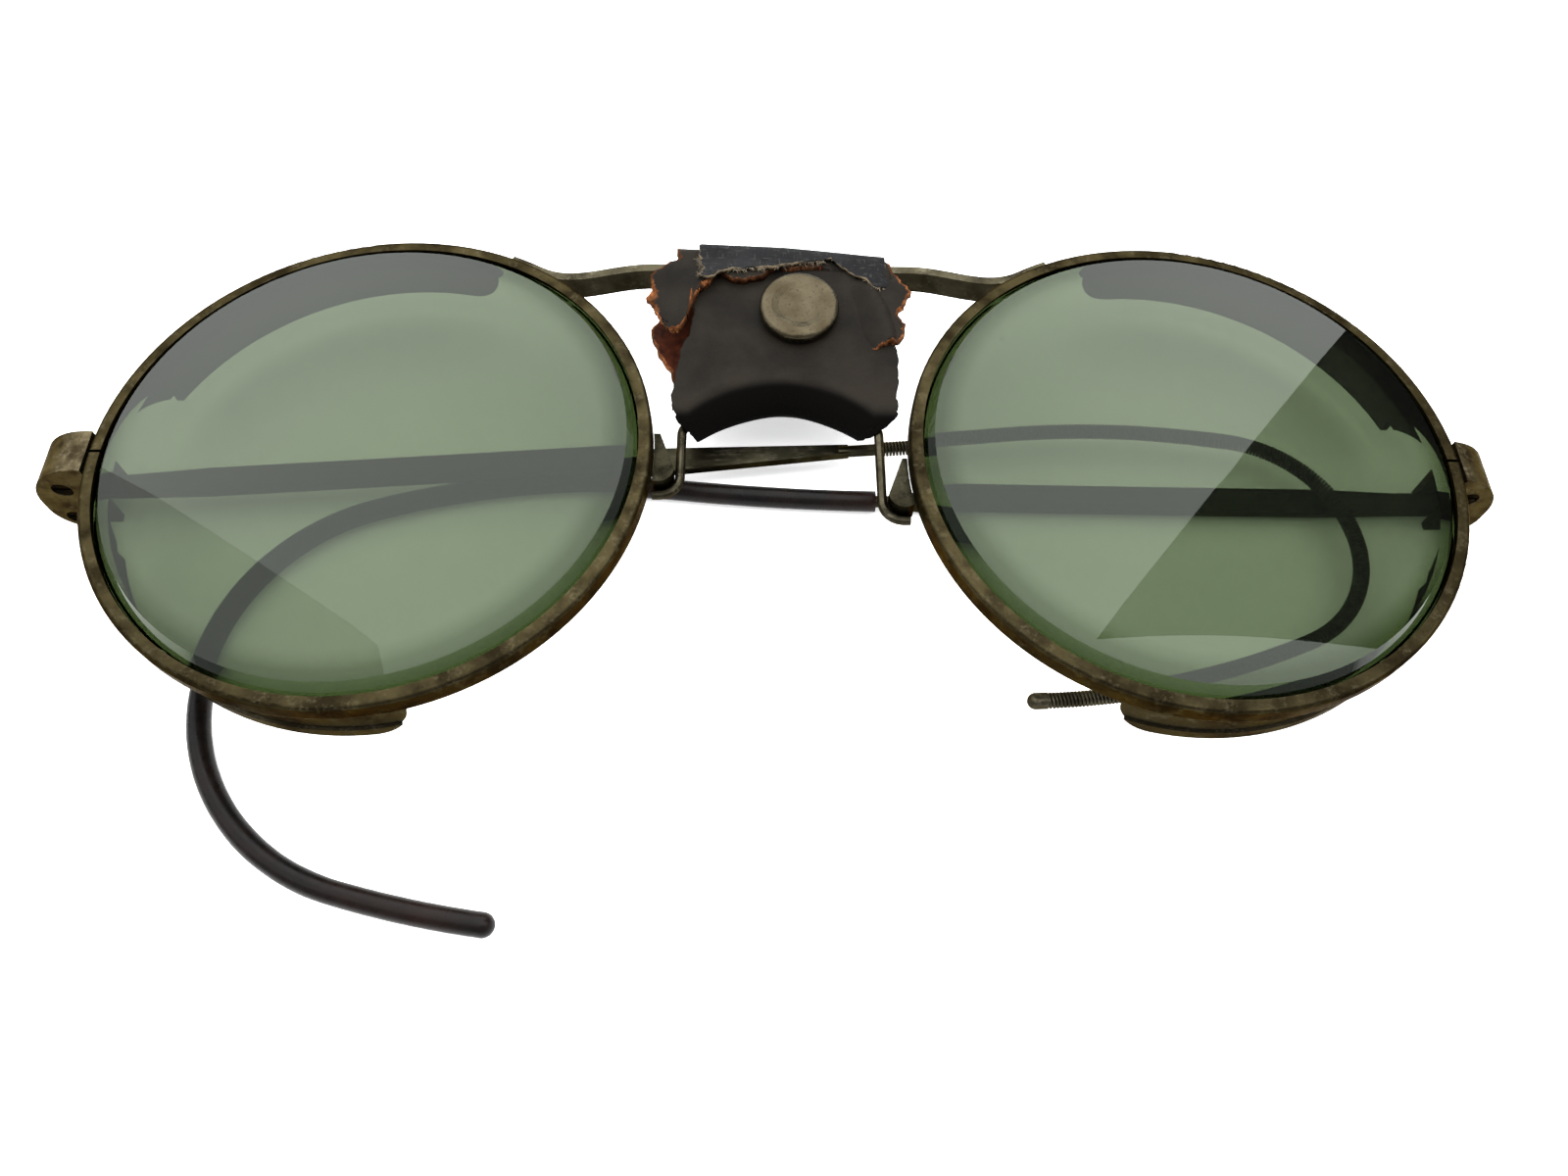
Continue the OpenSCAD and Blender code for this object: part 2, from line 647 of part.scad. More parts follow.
// Leaf-shaped lug between the hook of the saddle wire and the nasal side of the rim
module bridge_lug(side) {
    lug_y = side == left ? left_lug_y : right_lug_y;
    hook_y = lug_y - lug_l / 4;
    rim_x = half_pitch - rim_r;
    middle_x = saddle_leg_x + saddle_hook_r;
    round_end = [for (a = [180 : 10 : 360]) [middle_x, hook_y] + lug_end_r * [cos(a), sin(a)]];
    color(metal) on_side(side) difference() {
        translate([0, 0, saddle_z - saddle_d / 2]) linear_extrude(lug_t)
            polygon(concat(round_end, [[rim_x + 1, lug_y + lug_l / 2], [rim_x - 0.5, lug_y + lug_l / 2]]));
        at_rim(right) cylinder(r = rim_r + 0.03, h = 8 * rim_back, center = true, $fn = 180);
    }
}

// Middle line of the brow bar from its middle to the end where it hugs the right rim
function brow_line() =
    let (
        meet = [half_pitch - brow_path_r * cos(brow_meet), brow_path_r * sin(brow_meet)],
        hug_dir = [sin(brow_meet), cos(brow_meet)],
        curve = [[brow_straight, brow_y], [brow_straight + brow_handle, brow_y],
            meet - hug_dir * brow_handle, meet]
    )
    concat(
        [for (i = [0 : brow_steps - 1]) concat(bezier(curve, i / brow_steps),
            normal2(bezier_tangent(curve, i / brow_steps)))],
        [for (a = [brow_meet : brow_hug / 3 : brow_meet + brow_hug + eps])
            [half_pitch - brow_path_r * cos(a), brow_path_r * sin(a), -cos(a), sin(a)]]
    );

// Strip on edge, straight behind the leather, that runs tangent on to each rim
module brow_bar() {
    edge = function(s) [for (p = brow_line()) [p[0], p[1]] + s * brow_t / 2 * [p[2], p[3]]];
    flip = function(points) [for (p = points) [-p[0], p[1]]];
    color(metal) translate([0, 0, brow_z - brow_h / 2]) linear_extrude(brow_h)
        polygon(concat(edge(1), backwards(edge(-1)), flip(edge(-1)), backwards(flip(edge(1)))));
}

// Arch, bend, straight leg and hook of one half of the saddle wire, from its crown
function saddle_run(side) = [
    [saddle_r * saddle_arc * PI / 180, -saddle_arc],
    [saddle_bend_r * (90 - saddle_arc) * PI / 180, saddle_arc - 90],
    [saddle_leg_y - (side == left ? left_lug_y : right_lug_y) + lug_l / 4, 0],
    [saddle_hook_r * PI / 2, 90], [saddle_foot, 0]
];

// One wire from the left foot over the crown to the right foot
module saddle_wire() {
    mirrored = function(points) [for (p = points) [-p[0], p[1], -p[2]]];
    line = concat(backwards(mirrored(run_points(saddle_run(left)))),
        [for (p = run_points(saddle_run(right))) if (p[0] > 0) p]);
    color(dull_metal) translate([0, saddle_y, saddle_z])
        skin([for (p = line) ring(p, saddle_d / 2)], false);
}

// Middle of the hide along its section at x, as [y, z]: down the front, round the saddle wire,
// up the back, round the brow bar and on as a flap over its own top edge
function hide(u, x) =
    let (
        fold_at = front_steps, back_at = fold_at + roll_steps, top_at = back_at + back_steps,
        flap_at = top_at + roll_steps,
        wire = [saddle_arch_y(x), saddle_z], bar = [brow_y, brow_z],
        top = bar + [0, bar_roll_z], fold = wire + [0, wire_roll_r]
    )
    u <= fold_at ? top + (fold - top) * u / front_steps :
    u <= back_at ? let (a = 90 + 180 * (u - fold_at) / roll_steps)
        wire + [wire_roll_r * cos(a), (wire_roll_r + (a > 180 ? fold_slack : 0)) * sin(a)] :
    u <= top_at ? let (low = [wire[0], fold_low_z], high = bar - [0, bar_roll_z])
        low + (high - low) * (u - back_at) / back_steps :
    u <= flap_at ? let (t = (u - top_at) / roll_steps, a = 180 * t - 90,
                        lift = flap_lift * (1 - cos(180 * t)) / 2)
        bar + [(bar_roll_y + lift) * sqrt(cos(a)), (bar_roll_z + lift) * sign(a) * sqrt(abs(sin(a)))] :
    top + [0, flap_lift] + unit(fold - top) * flap_l * (u - flap_at) / flap_steps;

// Reach of the hide to one side (-1 left, 1 right) at step u of its section
function hide_reach(u, s) =
    let (
        front = s < 0 ? front_left : front_right, back = s < 0 ? back_left : back_right,
        fold_at = front_steps, back_at = fold_at + roll_steps, top_at = back_at + back_steps,
        tear = ragged * (sin(u * 97 + s * 40) + 0.5 * sin(u * 223))
    )
    u <= fold_at ? front + (fold_half_w - front) * pow(u / front_steps, 3) + tear * 0.5 :
    u <= back_at ? fold_half_w :
    u <= top_at ? let (t = (u - back_at) / back_steps)
        fold_half_w + (back - fold_half_w) * (1 - pow(1 - t, 2)) + tear * t :
    back + tear;

function hide_point(i, j, face) =
    let (
        x = -hide_reach(i, -1) + (hide_reach(i, -1) + hide_reach(i, 1)) * j / leather_sides,
        run = hide(min(i + 0.2, wrap_steps), x) - hide(max(i - 0.2, 0), x),
        out = -normal2(run), p = hide(i, x) + face * leather_t / 2 * out
    ) [x, p[0], p[1]];

module nose_leather() {
    n = wrap_steps;
    m = leather_sides;
    half = (n + 1) * (m + 1);
    points = [for (face = [1, -1]) for (i = [0 : n]) for (j = [0 : m]) hide_point(i, j, face)];
    at = function(i, j, inner) inner * half + i * (m + 1) + j;
    split = function(a, b, c, d) [[a, b, c], [a, c, d]];
    skin = [for (i = [0 : n - 1]) for (j = [0 : m - 1]) each concat(
        split(at(i, j, 0), at(i, j + 1, 0), at(i + 1, j + 1, 0), at(i + 1, j, 0)),
        split(at(i, j, 1), at(i + 1, j, 1), at(i + 1, j + 1, 1), at(i, j + 1, 1)))];
    sides = [for (i = [0 : n - 1]) each concat(
        split(at(i, 0, 0), at(i + 1, 0, 0), at(i + 1, 0, 1), at(i, 0, 1)),
        split(at(i + 1, m, 0), at(i, m, 0), at(i, m, 1), at(i + 1, m, 1)))];
    ends = [for (j = [0 : m - 1]) each concat(
        split(at(0, j + 1, 0), at(0, j, 0), at(0, j, 1), at(0, j + 1, 1)),
        split(at(n, j, 0), at(n, j + 1, 0), at(n, j + 1, 1), at(n, j, 1)))];
    color(leather_colour) difference() {
        polyhedron(points, concat(skin, sides, ends), convexity = 6);
        at_snap() translate([0, 0, -leather_t - hide_gap / 2])
            cylinder(d = barrel_d + 0.3, h = leather_t + hide_gap / 2 + 0.5, $fn = 48);
        at_snap() translate([0, 0, post_z - 0.5])
            cylinder(d = post_d + 0.3, h = -post_z + 0.5 - leather_t - hide_gap / 2, $fn = 48);
    }
}

// The snap's axis stands square on the front layer, with z = 0 on its outer face
module at_snap() {
    translate([snap_x, snap_y, snap_mid_z]) rotate([hide_slope, 0, 0])
        translate([0, 0, leather_t / 2]) children();
}

module snap_cap() {
    r = cap_d / 2;
    edge_r = 0.5;
    top = snap_seat + cap_t;
    color(metal) at_snap() {
        rotate_extrude() difference() {
            union() {
                translate([0, snap_seat]) square([r - edge_r, cap_t]);
                translate([0, snap_seat + edge_r]) square([r, cap_t - 2 * edge_r]);
                for (z = [snap_seat + edge_r, snap_seat + cap_t - edge_r])
                    translate([r - edge_r, z]) circle(edge_r, $fn = 48);
            }
            polygon([[-1, top - 0.22], [r - 1.9, top - 0.18], [r - 1.2, top], [r - 1.2, top + 1],
                [-1, top + 1]]);
        }
        translate([0, 0, -leather_t - barrel_reach])
            cylinder(d = barrel_d, h = leather_t + barrel_reach + 0.5);
    }
}

module snap_socket() {
    color(dull_metal) at_snap() translate([0, 0, -leather_t - snap_seat - socket_h]) difference() {
        cylinder(d = socket_d, h = socket_h);
        translate([0, 0, -1]) cylinder(d = knob_d + 0.12, h = 1 + socket_h - socket_web);
        translate([0, 0, -1]) cylinder(d = barrel_d + 0.08, h = socket_h + 2);
    }
}

module snap_stud() {
    color(dull_metal) at_snap() translate([0, 0, stud_z]) difference() {
        union() {
            cylinder(d = socket_d - 1, h = stud_base_t);
            cylinder(d = knob_d, h = stud_h);
        }
        translate([0, 0, -1]) cylinder(d = post_d + 0.08, h = 1 + stud_base_t + 0.1);
    }
}

module snap_post() {
    color(dull_metal) at_snap() translate([0, 0, post_z]) {
        translate([0, 0, -0.35]) cylinder(d = socket_d - 1.2, h = 0.35);
        cylinder(d = post_d, h = stud_z + stud_base_t - post_z);
    }
}

lens(left);  // left_lens
lens(right);  // right_lens
eyewire(left);  // left_eyewire
eyewire(right);  // right_eyewire
shield(left);  // left_shield
shield(right);  // right_shield
endpiece(left);  // left_endpiece
endpiece(right);  // right_endpiece
rim_screw(left);  // left_rim_screw
rim_screw(right);  // right_rim_screw
hinge_screw(left);  // left_hinge_screw
hinge_screw(right);  // right_hinge_screw
temple_bar(left);  // left_temple_bar
temple_bar(right);  // right_temple_bar
cable_core(left);  // left_cable_core
cable_winding(left);  // left_cable_winding
cable_tip(left);  // left_cable_tip
cable_core(right);  // right_cable_core
cable_winding(right);  // right_cable_winding
cable_sheath(right);  // right_cable_sheath
bridge_lug(left);  // left_bridge_lug
bridge_lug(right);  // right_bridge_lug
brow_bar();
saddle_wire();
nose_leather();
snap_cap();
snap_socket();
snap_stud();
snap_post();
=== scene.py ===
# %% [markdown]
# # Old round-lens safety spectacles
# The pair lies folded on a pale table with its glasses up. Its metal and its glass come from the
# packed model as they are, and get their finishes here. The soft leather, the wound cable and the
# long bent sleeve are made again in finer detail, on the places that the model gives them.
# Everything is in metres, in the frame of the model: X runs to the side with the sleeve, Y from
# the nose to the brow, Z up from the table.

# %% Load the fixed frame
import math
import random

import bpy
import numpy as np
from mathutils import Matrix, Vector


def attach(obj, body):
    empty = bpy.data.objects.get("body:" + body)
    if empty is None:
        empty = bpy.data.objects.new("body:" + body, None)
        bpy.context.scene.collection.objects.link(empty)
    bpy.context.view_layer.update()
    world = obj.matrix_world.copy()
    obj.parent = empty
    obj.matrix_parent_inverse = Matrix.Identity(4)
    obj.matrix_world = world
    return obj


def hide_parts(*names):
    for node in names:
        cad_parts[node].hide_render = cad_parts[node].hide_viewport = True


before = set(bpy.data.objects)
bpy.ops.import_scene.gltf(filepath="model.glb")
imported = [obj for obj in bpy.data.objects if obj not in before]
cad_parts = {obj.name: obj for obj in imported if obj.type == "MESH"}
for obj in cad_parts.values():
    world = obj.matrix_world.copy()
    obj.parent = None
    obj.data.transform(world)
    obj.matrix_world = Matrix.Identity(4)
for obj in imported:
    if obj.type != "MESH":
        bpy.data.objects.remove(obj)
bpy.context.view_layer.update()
MM = 0.001
print("nodes of the model:", len(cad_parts))

# %% [markdown]
# ## Camera
# The two rims are circles of a known size, so their ellipses in the picture give the place and
# the tilt of the camera. It hangs about 10 cm over the pair, a little towards the wearer's mouth,
# and it is rolled by two degrees.

# %% Place the camera
CAMERA_AT = Vector((-1.66, -62.68, 98.10)) * MM
CAMERA_TO = Vector((0.22, -13.68, 9.40)) * MM
CAMERA_ROLL = math.radians(2.22)
LENS_LENGTH, SENSOR_WIDTH = 27, 36  # mm
NEAREST, FARTHEST = 0.005, 20  # clipping distances in metres


def place_camera():
    ahead = (CAMERA_TO - CAMERA_AT).normalized()
    flat_right = ahead.cross(Vector((0, 0, 1))).normalized()
    flat_up = flat_right.cross(ahead)
    right = math.cos(CAMERA_ROLL) * flat_right + math.sin(CAMERA_ROLL) * flat_up
    up = math.cos(CAMERA_ROLL) * flat_up - math.sin(CAMERA_ROLL) * flat_right
    data = bpy.data.cameras.new("photo_camera")
    data.lens, data.sensor_width = LENS_LENGTH, SENSOR_WIDTH
    data.clip_start, data.clip_end = NEAREST, FARTHEST
    camera = bpy.data.objects.new("photo_camera", data)
    bpy.context.scene.collection.objects.link(camera)
    camera.matrix_world = Matrix((
        (right.x, up.x, -ahead.x, CAMERA_AT.x), (right.y, up.y, -ahead.y, CAMERA_AT.y),
        (right.z, up.z, -ahead.z, CAMERA_AT.z), (0, 0, 0, 1)))
    bpy.context.scene.camera = camera
    return camera


camera = place_camera()
print("camera height over the table, mm:", round(camera.location.z / MM, 1))

# %% [markdown]
# ## Table, light and reflections
# The picture has a plain white ground and soft light from above. One large panel overhead lights
# the pair, and its reflection is the milky veil on both glasses. Two cards hang just below it and
# show only in reflections. They make the clear green wedge on the right glass and the fainter
# one at the lower edge of the left glass.

# %% Light from a panel, and a pale table
PANEL_Z = 0.50
PANEL_Y = 0.38
PANEL_SIZE = (1.7, 1.1)
PANEL_WATTS = 24
CARD_Z = PANEL_Z - 0.01
TABLE_HALF = 4.0
TABLE_Z = -0.02 * MM
TABLE_WHITE = (0.96, 0.96, 0.955)
TABLE_GLOW = 0.5  # the photograph shows hardly any shadow on the white ground


def mesh_object(name, points, faces, smooth=True):
    mesh = bpy.data.meshes.new(name)
    mesh.from_pydata([tuple(p) for p in points], [], faces)
    mesh.validate()
    if smooth:
        mesh.shade_smooth()
    piece = bpy.data.objects.new(name, mesh)
    bpy.context.scene.collection.objects.link(piece)
    return piece


def plain_material(name, colour, roughness, glow=0.0):
    material = bpy.data.materials.new(name)
    material.use_nodes = True
    shader = material.node_tree.nodes["Principled BSDF"]
    shader.inputs["Base Color"].default_value = (*colour, 1)
    shader.inputs["Roughness"].default_value = roughness
    shader.inputs["Emission Color"].default_value = (1, 1, 1, 1)
    shader.inputs["Emission Strength"].default_value = glow
    return material


def flat_card(name, corners, z, material):
    card = mesh_object(name, [(x, y, z) for x, y in corners], [list(range(len(corners)))], False)
    card.data.materials.append(material)
    return card


table = flat_card("table_top", [(-TABLE_HALF, -TABLE_HALF), (TABLE_HALF, -TABLE_HALF),
                                (TABLE_HALF, TABLE_HALF), (-TABLE_HALF, TABLE_HALF)],
                  TABLE_Z, plain_material("pale_table", TABLE_WHITE, 0.7, TABLE_GLOW))


def reflection_card(name, corners, glow):
    """A card that only mirror-like surfaces see."""
    card = flat_card(name, corners, CARD_Z, plain_material(name, (0, 0, 0), 1, glow))
    card.visible_camera = card.visible_diffuse = False
    card.visible_transmission = card.visible_shadow = False
    return card


RIGHT_WEDGE = [(0.174, 0.168), (1.2, 0.216), (1.2, 1.394)]
LEFT_WEDGE = [(-0.216, 0.161), (-1.2, 0.854), (-1.2, -0.3), (-0.05, -0.3)]
reflection_card("dark_card", RIGHT_WEDGE, 0.10)
reflection_card("dim_card", LEFT_WEDGE, 2.9)


def overhead_panel():
    """An area light shines along its own -Z, so one that hangs level needs no turning."""
    data = bpy.data.lights.new("overhead_panel", "AREA")
    data.shape, data.energy = "RECTANGLE", PANEL_WATTS
    data.size, data.size_y = PANEL_SIZE
    light = bpy.data.objects.new("overhead_panel", data)
    light.location = (0, PANEL_Y, PANEL_Z)
    bpy.context.scene.collection.objects.link(light)


overhead_panel()
ROOM_COLOUR, ROOM_STRENGTH = (0.80, 0.82, 0.84, 1), 0.95
world = bpy.data.worlds.new("room")
world.use_nodes = True
background = world.node_tree.nodes["Background"]
background.inputs["Color"].default_value = ROOM_COLOUR
background.inputs["Strength"].default_value = ROOM_STRENGTH
bpy.context.scene.world = world
bpy.context.scene.view_settings.view_transform = "Standard"
print("table and lights placed")

# %% [markdown]
# ## How a finish is built up
# Every finish here starts from the same few steps: clouds of noise in the piece's own
# coordinates, measured in millimetres, that mix two or three colours, change the gloss and raise
# or sink the surface a little. Because they use the piece's own coordinates, the pattern stays on
# a temple when it folds.

# %% Steps shared by the finishes
class Finish:
    """Builds one material, with sizes given in millimetres."""

    def __init__(self, name, roughness=0.5, metallic=0.0):
        self.material = bpy.data.materials.new(name)
        self.material.use_nodes = True
        self.tree = self.material.node_tree
        self.shader = self.tree.nodes["Principled BSDF"]
        self.shader.inputs["Roughness"].default_value = roughness
        self.shader.inputs["Metallic"].default_value = metallic
        self.place = self.node("ShaderNodeTexCoord").outputs["Object"]

    def node(self, kind, **values):
        made = self.tree.nodes.new(kind)
        for key, value in values.items():
            setattr(made, key, value)
        return made

    def join(self, a, b):
        self.tree.links.new(a, b)

    def clouds(self, size_mm, detail=4.0, rough=0.55, stretch=(1, 1, 1)):
        """Noise with patches of about size_mm, as a value."""
        mapping = self.node("ShaderNodeMapping")
        mapping.inputs["Scale"].default_value = tuple(s / (size_mm * MM) for s in stretch)
        self.join(self.place, mapping.inputs["Vector"])
        noise = self.node("ShaderNodeTexNoise")
        noise.inputs["Scale"].default_value = 1
        noise.inputs["Detail"].default_value = detail
        noise.inputs["Roughness"].default_value = rough
        self.join(mapping.outputs["Vector"], noise.inputs["Vector"])
        return noise.outputs["Fac"]

    def spots(self, size_mm, deep=1):
        """Distance to scattered points about size_mm apart, as a value; deep=0 gives columns."""
        mapping = self.node("ShaderNodeMapping")
        mapping.inputs["Scale"].default_value = tuple(s / (size_mm * MM) for s in (1, 1, deep))
        self.join(self.place, mapping.inputs["Vector"])
        cells = self.node("ShaderNodeTexVoronoi")
        cells.inputs["Scale"].default_value = 1
        self.join(mapping.outputs["Vector"], cells.inputs["Vector"])
        return cells.outputs["Distance"]

    def span(self, value, low, high, to_low=0.0, to_high=1.0):
        """Maps low..high to to_low..to_high, held at both ends."""
        ramp = self.node("ShaderNodeMapRange")
        for key, number in (("From Min", low), ("From Max", high),
                            ("To Min", to_low), ("To Max", to_high)):
            ramp.inputs[key].default_value = number
        self.join(value, ramp.inputs["Value"])
        return ramp.outputs["Result"]

    def mix(self, amount, first, second):
        """Colour that goes from first to second; each is a colour or an output."""
        mixer = self.node("ShaderNodeMix", data_type="RGBA")
        self.join(amount, mixer.inputs["Factor"])
        for socket, colour in ((mixer.inputs[6], first), (mixer.inputs[7], second)):
            if isinstance(colour, tuple):
                socket.default_value = (*colour, 1)
            else:
                self.join(colour, socket)
        return mixer.outputs[2]

    def math(self, operation, a, b):
        maths = self.node("ShaderNodeMath", operation=operation)
        for socket, value in zip(maths.inputs, (a, b)):
            if isinstance(value, (int, float)):
                socket.default_value = value
            else:
                self.join(value, socket)
        return maths.outputs[0]

    def upright(self):
        """1 on faces that stand upright, 0 on those that look up or down."""
        parts = self.node("ShaderNodeSeparateXYZ")
        self.join(self.node("ShaderNodeTexCoord").outputs["Normal"], parts.inputs[0])
        return self.span(self.math("ABSOLUTE", parts.outputs["Z"], 0), 0.35, 0.85, 1, 0)

    def mask(self, name):
        """A value stored on the mesh's own points."""
        return self.node("ShaderNodeAttribute", attribute_name=name).outputs["Fac"]

    def colour(self, output):
        self.join(output, self.shader.inputs["Base Color"])

    def gloss(self, output):
        self.join(output, self.shader.inputs["Roughness"])

    def relief(self, height, depth_mm, strength=1.0):
        bump = self.node("ShaderNodeBump")
        bump.inputs["Distance"].default_value = depth_mm * MM
        bump.inputs["Strength"].default_value = strength
        self.join(height, bump.inputs["Height"])
        self.join(bump.outputs["Normal"], self.shader.inputs["Normal"])


SHARP = math.radians(32)


def put_on(material, *names):
    """Gives CAD nodes a finish, and smooths their shading across shallow edges."""
    for name in names:
        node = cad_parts[name]
        node.data.materials.clear()
        node.data.materials.append(material)
        node.data.shade_smooth()
        node.data.set_sharp_from_angle(angle=SHARP)
    print(material.name, "on", len(names), "pieces")


print("steps for a finish:", [n for n in vars(Finish) if not n.startswith("_")])

# %% [markdown]
# ## Worn plated metal
# The rims were plated. The plating has gone brown and olive, it is darker in the corners, and
# handling has rubbed the high places lighter. One recipe with different colours makes all the
# metals: large soft stains, small pits that are darker and rougher, and fine rubbing marks.
# Faces that stand upright are painted darker: this is painted shade.

# %% Recipe for worn metal
RUB_MM, FINE_MM, PIT_MM = 1.4, 0.32, 0.9
EDGE_MIRROR = (0.44, 0.41, 0.35, 1)  # how much a surface seen at a slant still mirrors


def worn_metal(name, body, stain, rubbed, roughness=(0.34, 0.62), stain_mm=3.2, pits=0.5,
               marks=(1, 1, 1), painted_shade=0.5):
    f = Finish(name, metallic=1.0)
    f.shader.inputs["Specular Tint"].default_value = EDGE_MIRROR
    clouds = f.clouds(stain_mm, 5)
    fine = f.clouds(FINE_MM, 3, 0.65, marks)
    stained = f.mix(f.span(clouds, 0.40, 0.62), body, stain)
    rub = f.span(f.math("MULTIPLY", fine, f.clouds(RUB_MM, 3)), 0.27, 0.46, 0, 0.8)
    worn = f.mix(rub, stained, rubbed)
    pit = f.span(f.spots(PIT_MM), 0.02, 0.16, pits, 0)
    # upright faces painted darker by the given amount: painted shade
    upright_shaded = f.mix(f.math("MULTIPLY", f.upright(), painted_shade), worn, tuple(0.5 * c for c in stain))
    f.colour(f.mix(pit, upright_shaded, tuple(0.35 * c for c in stain)))
    f.gloss(f.span(f.math("ADD", fine, f.span(clouds, 0.3, 0.7, -0.2, 0.2)), 0.3, 0.75,
                   *roughness))
    f.relief(fine, 0.012, 0.4)
    return f.material


rim_metal = worn_metal("rim_plating", (0.028, 0.0225, 0.0105), (0.011, 0.0085, 0.0042),
                       (0.058, 0.049, 0.028), painted_shade=0.3)
shield_metal = worn_metal("shield_plating", (0.060, 0.051, 0.031), (0.024, 0.019, 0.011),
                          (0.120, 0.105, 0.072), (0.42, 0.7), 5.0)
endpiece_metal = worn_metal("endpiece_plating", (0.080, 0.066, 0.038), (0.026, 0.020, 0.011),
                            (0.150, 0.127, 0.085), (0.36, 0.62), 2.2, 0.5, painted_shade=0.6)
temple_metal = worn_metal("temple_plating", (0.040, 0.036, 0.022), (0.017, 0.016, 0.010),
                          (0.085, 0.078, 0.055), (0.3, 0.55), 4.0, 0.35, (0.15, 1, 1))
screw_metal = worn_metal("screw_steel", (0.012, 0.010, 0.007), (0.005, 0.0045, 0.0035),
                         (0.04, 0.035, 0.027), (0.4, 0.65), 1.0)
bridge_metal = worn_metal("bridge_plating", (0.046, 0.041, 0.026), (0.016, 0.014, 0.009),
                          (0.105, 0.095, 0.066), (0.3, 0.5), 3.0, 0.3, painted_shade=0.75)
wire_metal = worn_metal("saddle_plating", (0.045, 0.040, 0.026), (0.018, 0.016, 0.010),
                        (0.10, 0.09, 0.065), (0.3, 0.5), 2.0, 0.3)
# the lugs get a darker copy of the same plating: painted shade for the shade they lie in
shaded_lug_metal = worn_metal("lug_plating_shaded", (0.017, 0.0155, 0.0095), (0.006, 0.0055, 0.0035),
                       (0.040, 0.036, 0.025), (0.3, 0.5), 1.6, 0.3)
put_on(rim_metal, "left_eyewire", "right_eyewire")
put_on(shield_metal, "left_shield", "right_shield")
put_on(endpiece_metal, "left_endpiece", "right_endpiece")
put_on(temple_metal, "left_temple_bar", "right_temple_bar")
put_on(screw_metal, "left_rim_screw", "right_rim_screw", "left_hinge_screw", "right_hinge_screw")
put_on(bridge_metal, "brow_bar")
put_on(wire_metal, "saddle_wire")
put_on(shaded_lug_metal, "left_bridge_lug", "right_bridge_lug")

# %% [markdown]
# ## Tinted glass
# The glasses are thick, hardened and tinted a cold grey-green. Light is lost inside the glass, so
# its edge looks deeper green than the middle. Here that band is painted into the tint: it is
# partly the glass's own deeper colour and partly painted shade of the view through the bevel,
# which holds for one view only. In the picture this band is widest low on the nose side, so the
# painted band follows the distance from a point a little off the middle of each glass.
# The index of refraction is not the 1.52 of clean crown glass: it is tuned down until the veil on
# the glass is as faint as in the picture. There are a few specks of dust. The glasses throw no
# shadow, because light that goes through glass and on to the table would need far more samples
# than it is worth, and shows up as grain.

# %% Glass
BAND_X, BAND_Y = 38.0 * MM, 0.8 * MM
BAND_FROM, BAND_TO = 21.4 * MM, 23.3 * MM
TUNED_INDEX = 1.36
MIRROR_TINT = (0.84, 0.91, 0.82, 1)
SPECK_MM = 11


def tinted_glass():
    f = Finish("tinted_glass", roughness=0.0)
    f.shader.inputs["Transmission Weight"].default_value = 1
    f.shader.inputs["IOR"].default_value = TUNED_INDEX
    f.shader.inputs["Specular Tint"].default_value = MIRROR_TINT
    parts = f.node("ShaderNodeSeparateXYZ")
    f.join(f.place, parts.inputs[0])
    sideways = f.math("SUBTRACT", f.math("ABSOLUTE", parts.outputs["X"], 0), BAND_X)
    upwards = f.math("SUBTRACT", parts.outputs["Y"], BAND_Y)
    from_middle = f.math("SQRT", f.math("ADD", f.math("POWER", sideways, 2),
                                        f.math("POWER", upwards, 2)), 0)
    # deeper green edge band: partly the glass's own tint, partly painted shade of the bevel
    edge_band_partly_painted = f.span(from_middle, BAND_FROM, BAND_TO)
    tint = f.mix(f.clouds(18, 2), (0.042, 0.058, 0.030), (0.051, 0.066, 0.038))
    deeper = f.mix(edge_band_partly_painted, tint, (0.015, 0.024, 0.007))
    speck = f.span(f.spots(SPECK_MM, 0), 0.014, 0.032, 1, 0)
    f.colour(f.mix(speck, deeper, (0.02, 0.02, 0.012)))
    return f.material


put_on(tinted_glass(), "left_lens", "right_lens")
for name in ("left_lens", "right_lens"):
    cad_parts[name].visible_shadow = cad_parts[name].visible_diffuse = False

# %% [markdown]
# ## Snap fastener
# The cap of the snap is a pressed disc of brownish nickel, dented by the tool that closed it.
# Its inner parts sit between the layers of the hide and hardly show.

# %% Snap
def snap_nickel():
    f = Finish("snap_nickel", metallic=1.0)
    dents = f.clouds(2.2, 2, 0.4)
    fine = f.clouds(0.25, 3)
    stained = f.mix(f.span(dents, 0.35, 0.65), (0.036, 0.029, 0.017), (0.055, 0.046, 0.029))
    f.colour(f.mix(f.span(fine, 0.62, 0.72), stained, (0.02, 0.017, 0.011)))
    f.gloss(f.span(fine, 0.3, 0.7, 0.3, 0.48))
    f.relief(f.math("ADD", dents, f.math("MULTIPLY", fine, 0.08)), 0.5, 0.7)
    return f.material


put_on(snap_nickel(), "snap_cap", "snap_socket", "snap_stud", "snap_post")

# %% [markdown]
# ## Sweeping a wire along a bent route
# The ends of the temples bend into hooks. Their route is a short list of stretches, each with a
# length and a turn, laid out flat from the end of the bar. A ring of points carried along it
# makes a tube, and a point that runs round the route as it goes forward makes a wound wire.

# %% Routes of the two cable ends
PIN_Z = 1.9 * MM
NECK = 5.5 * MM
LEFT_CABLE, RIGHT_CABLE = 89, 109.7
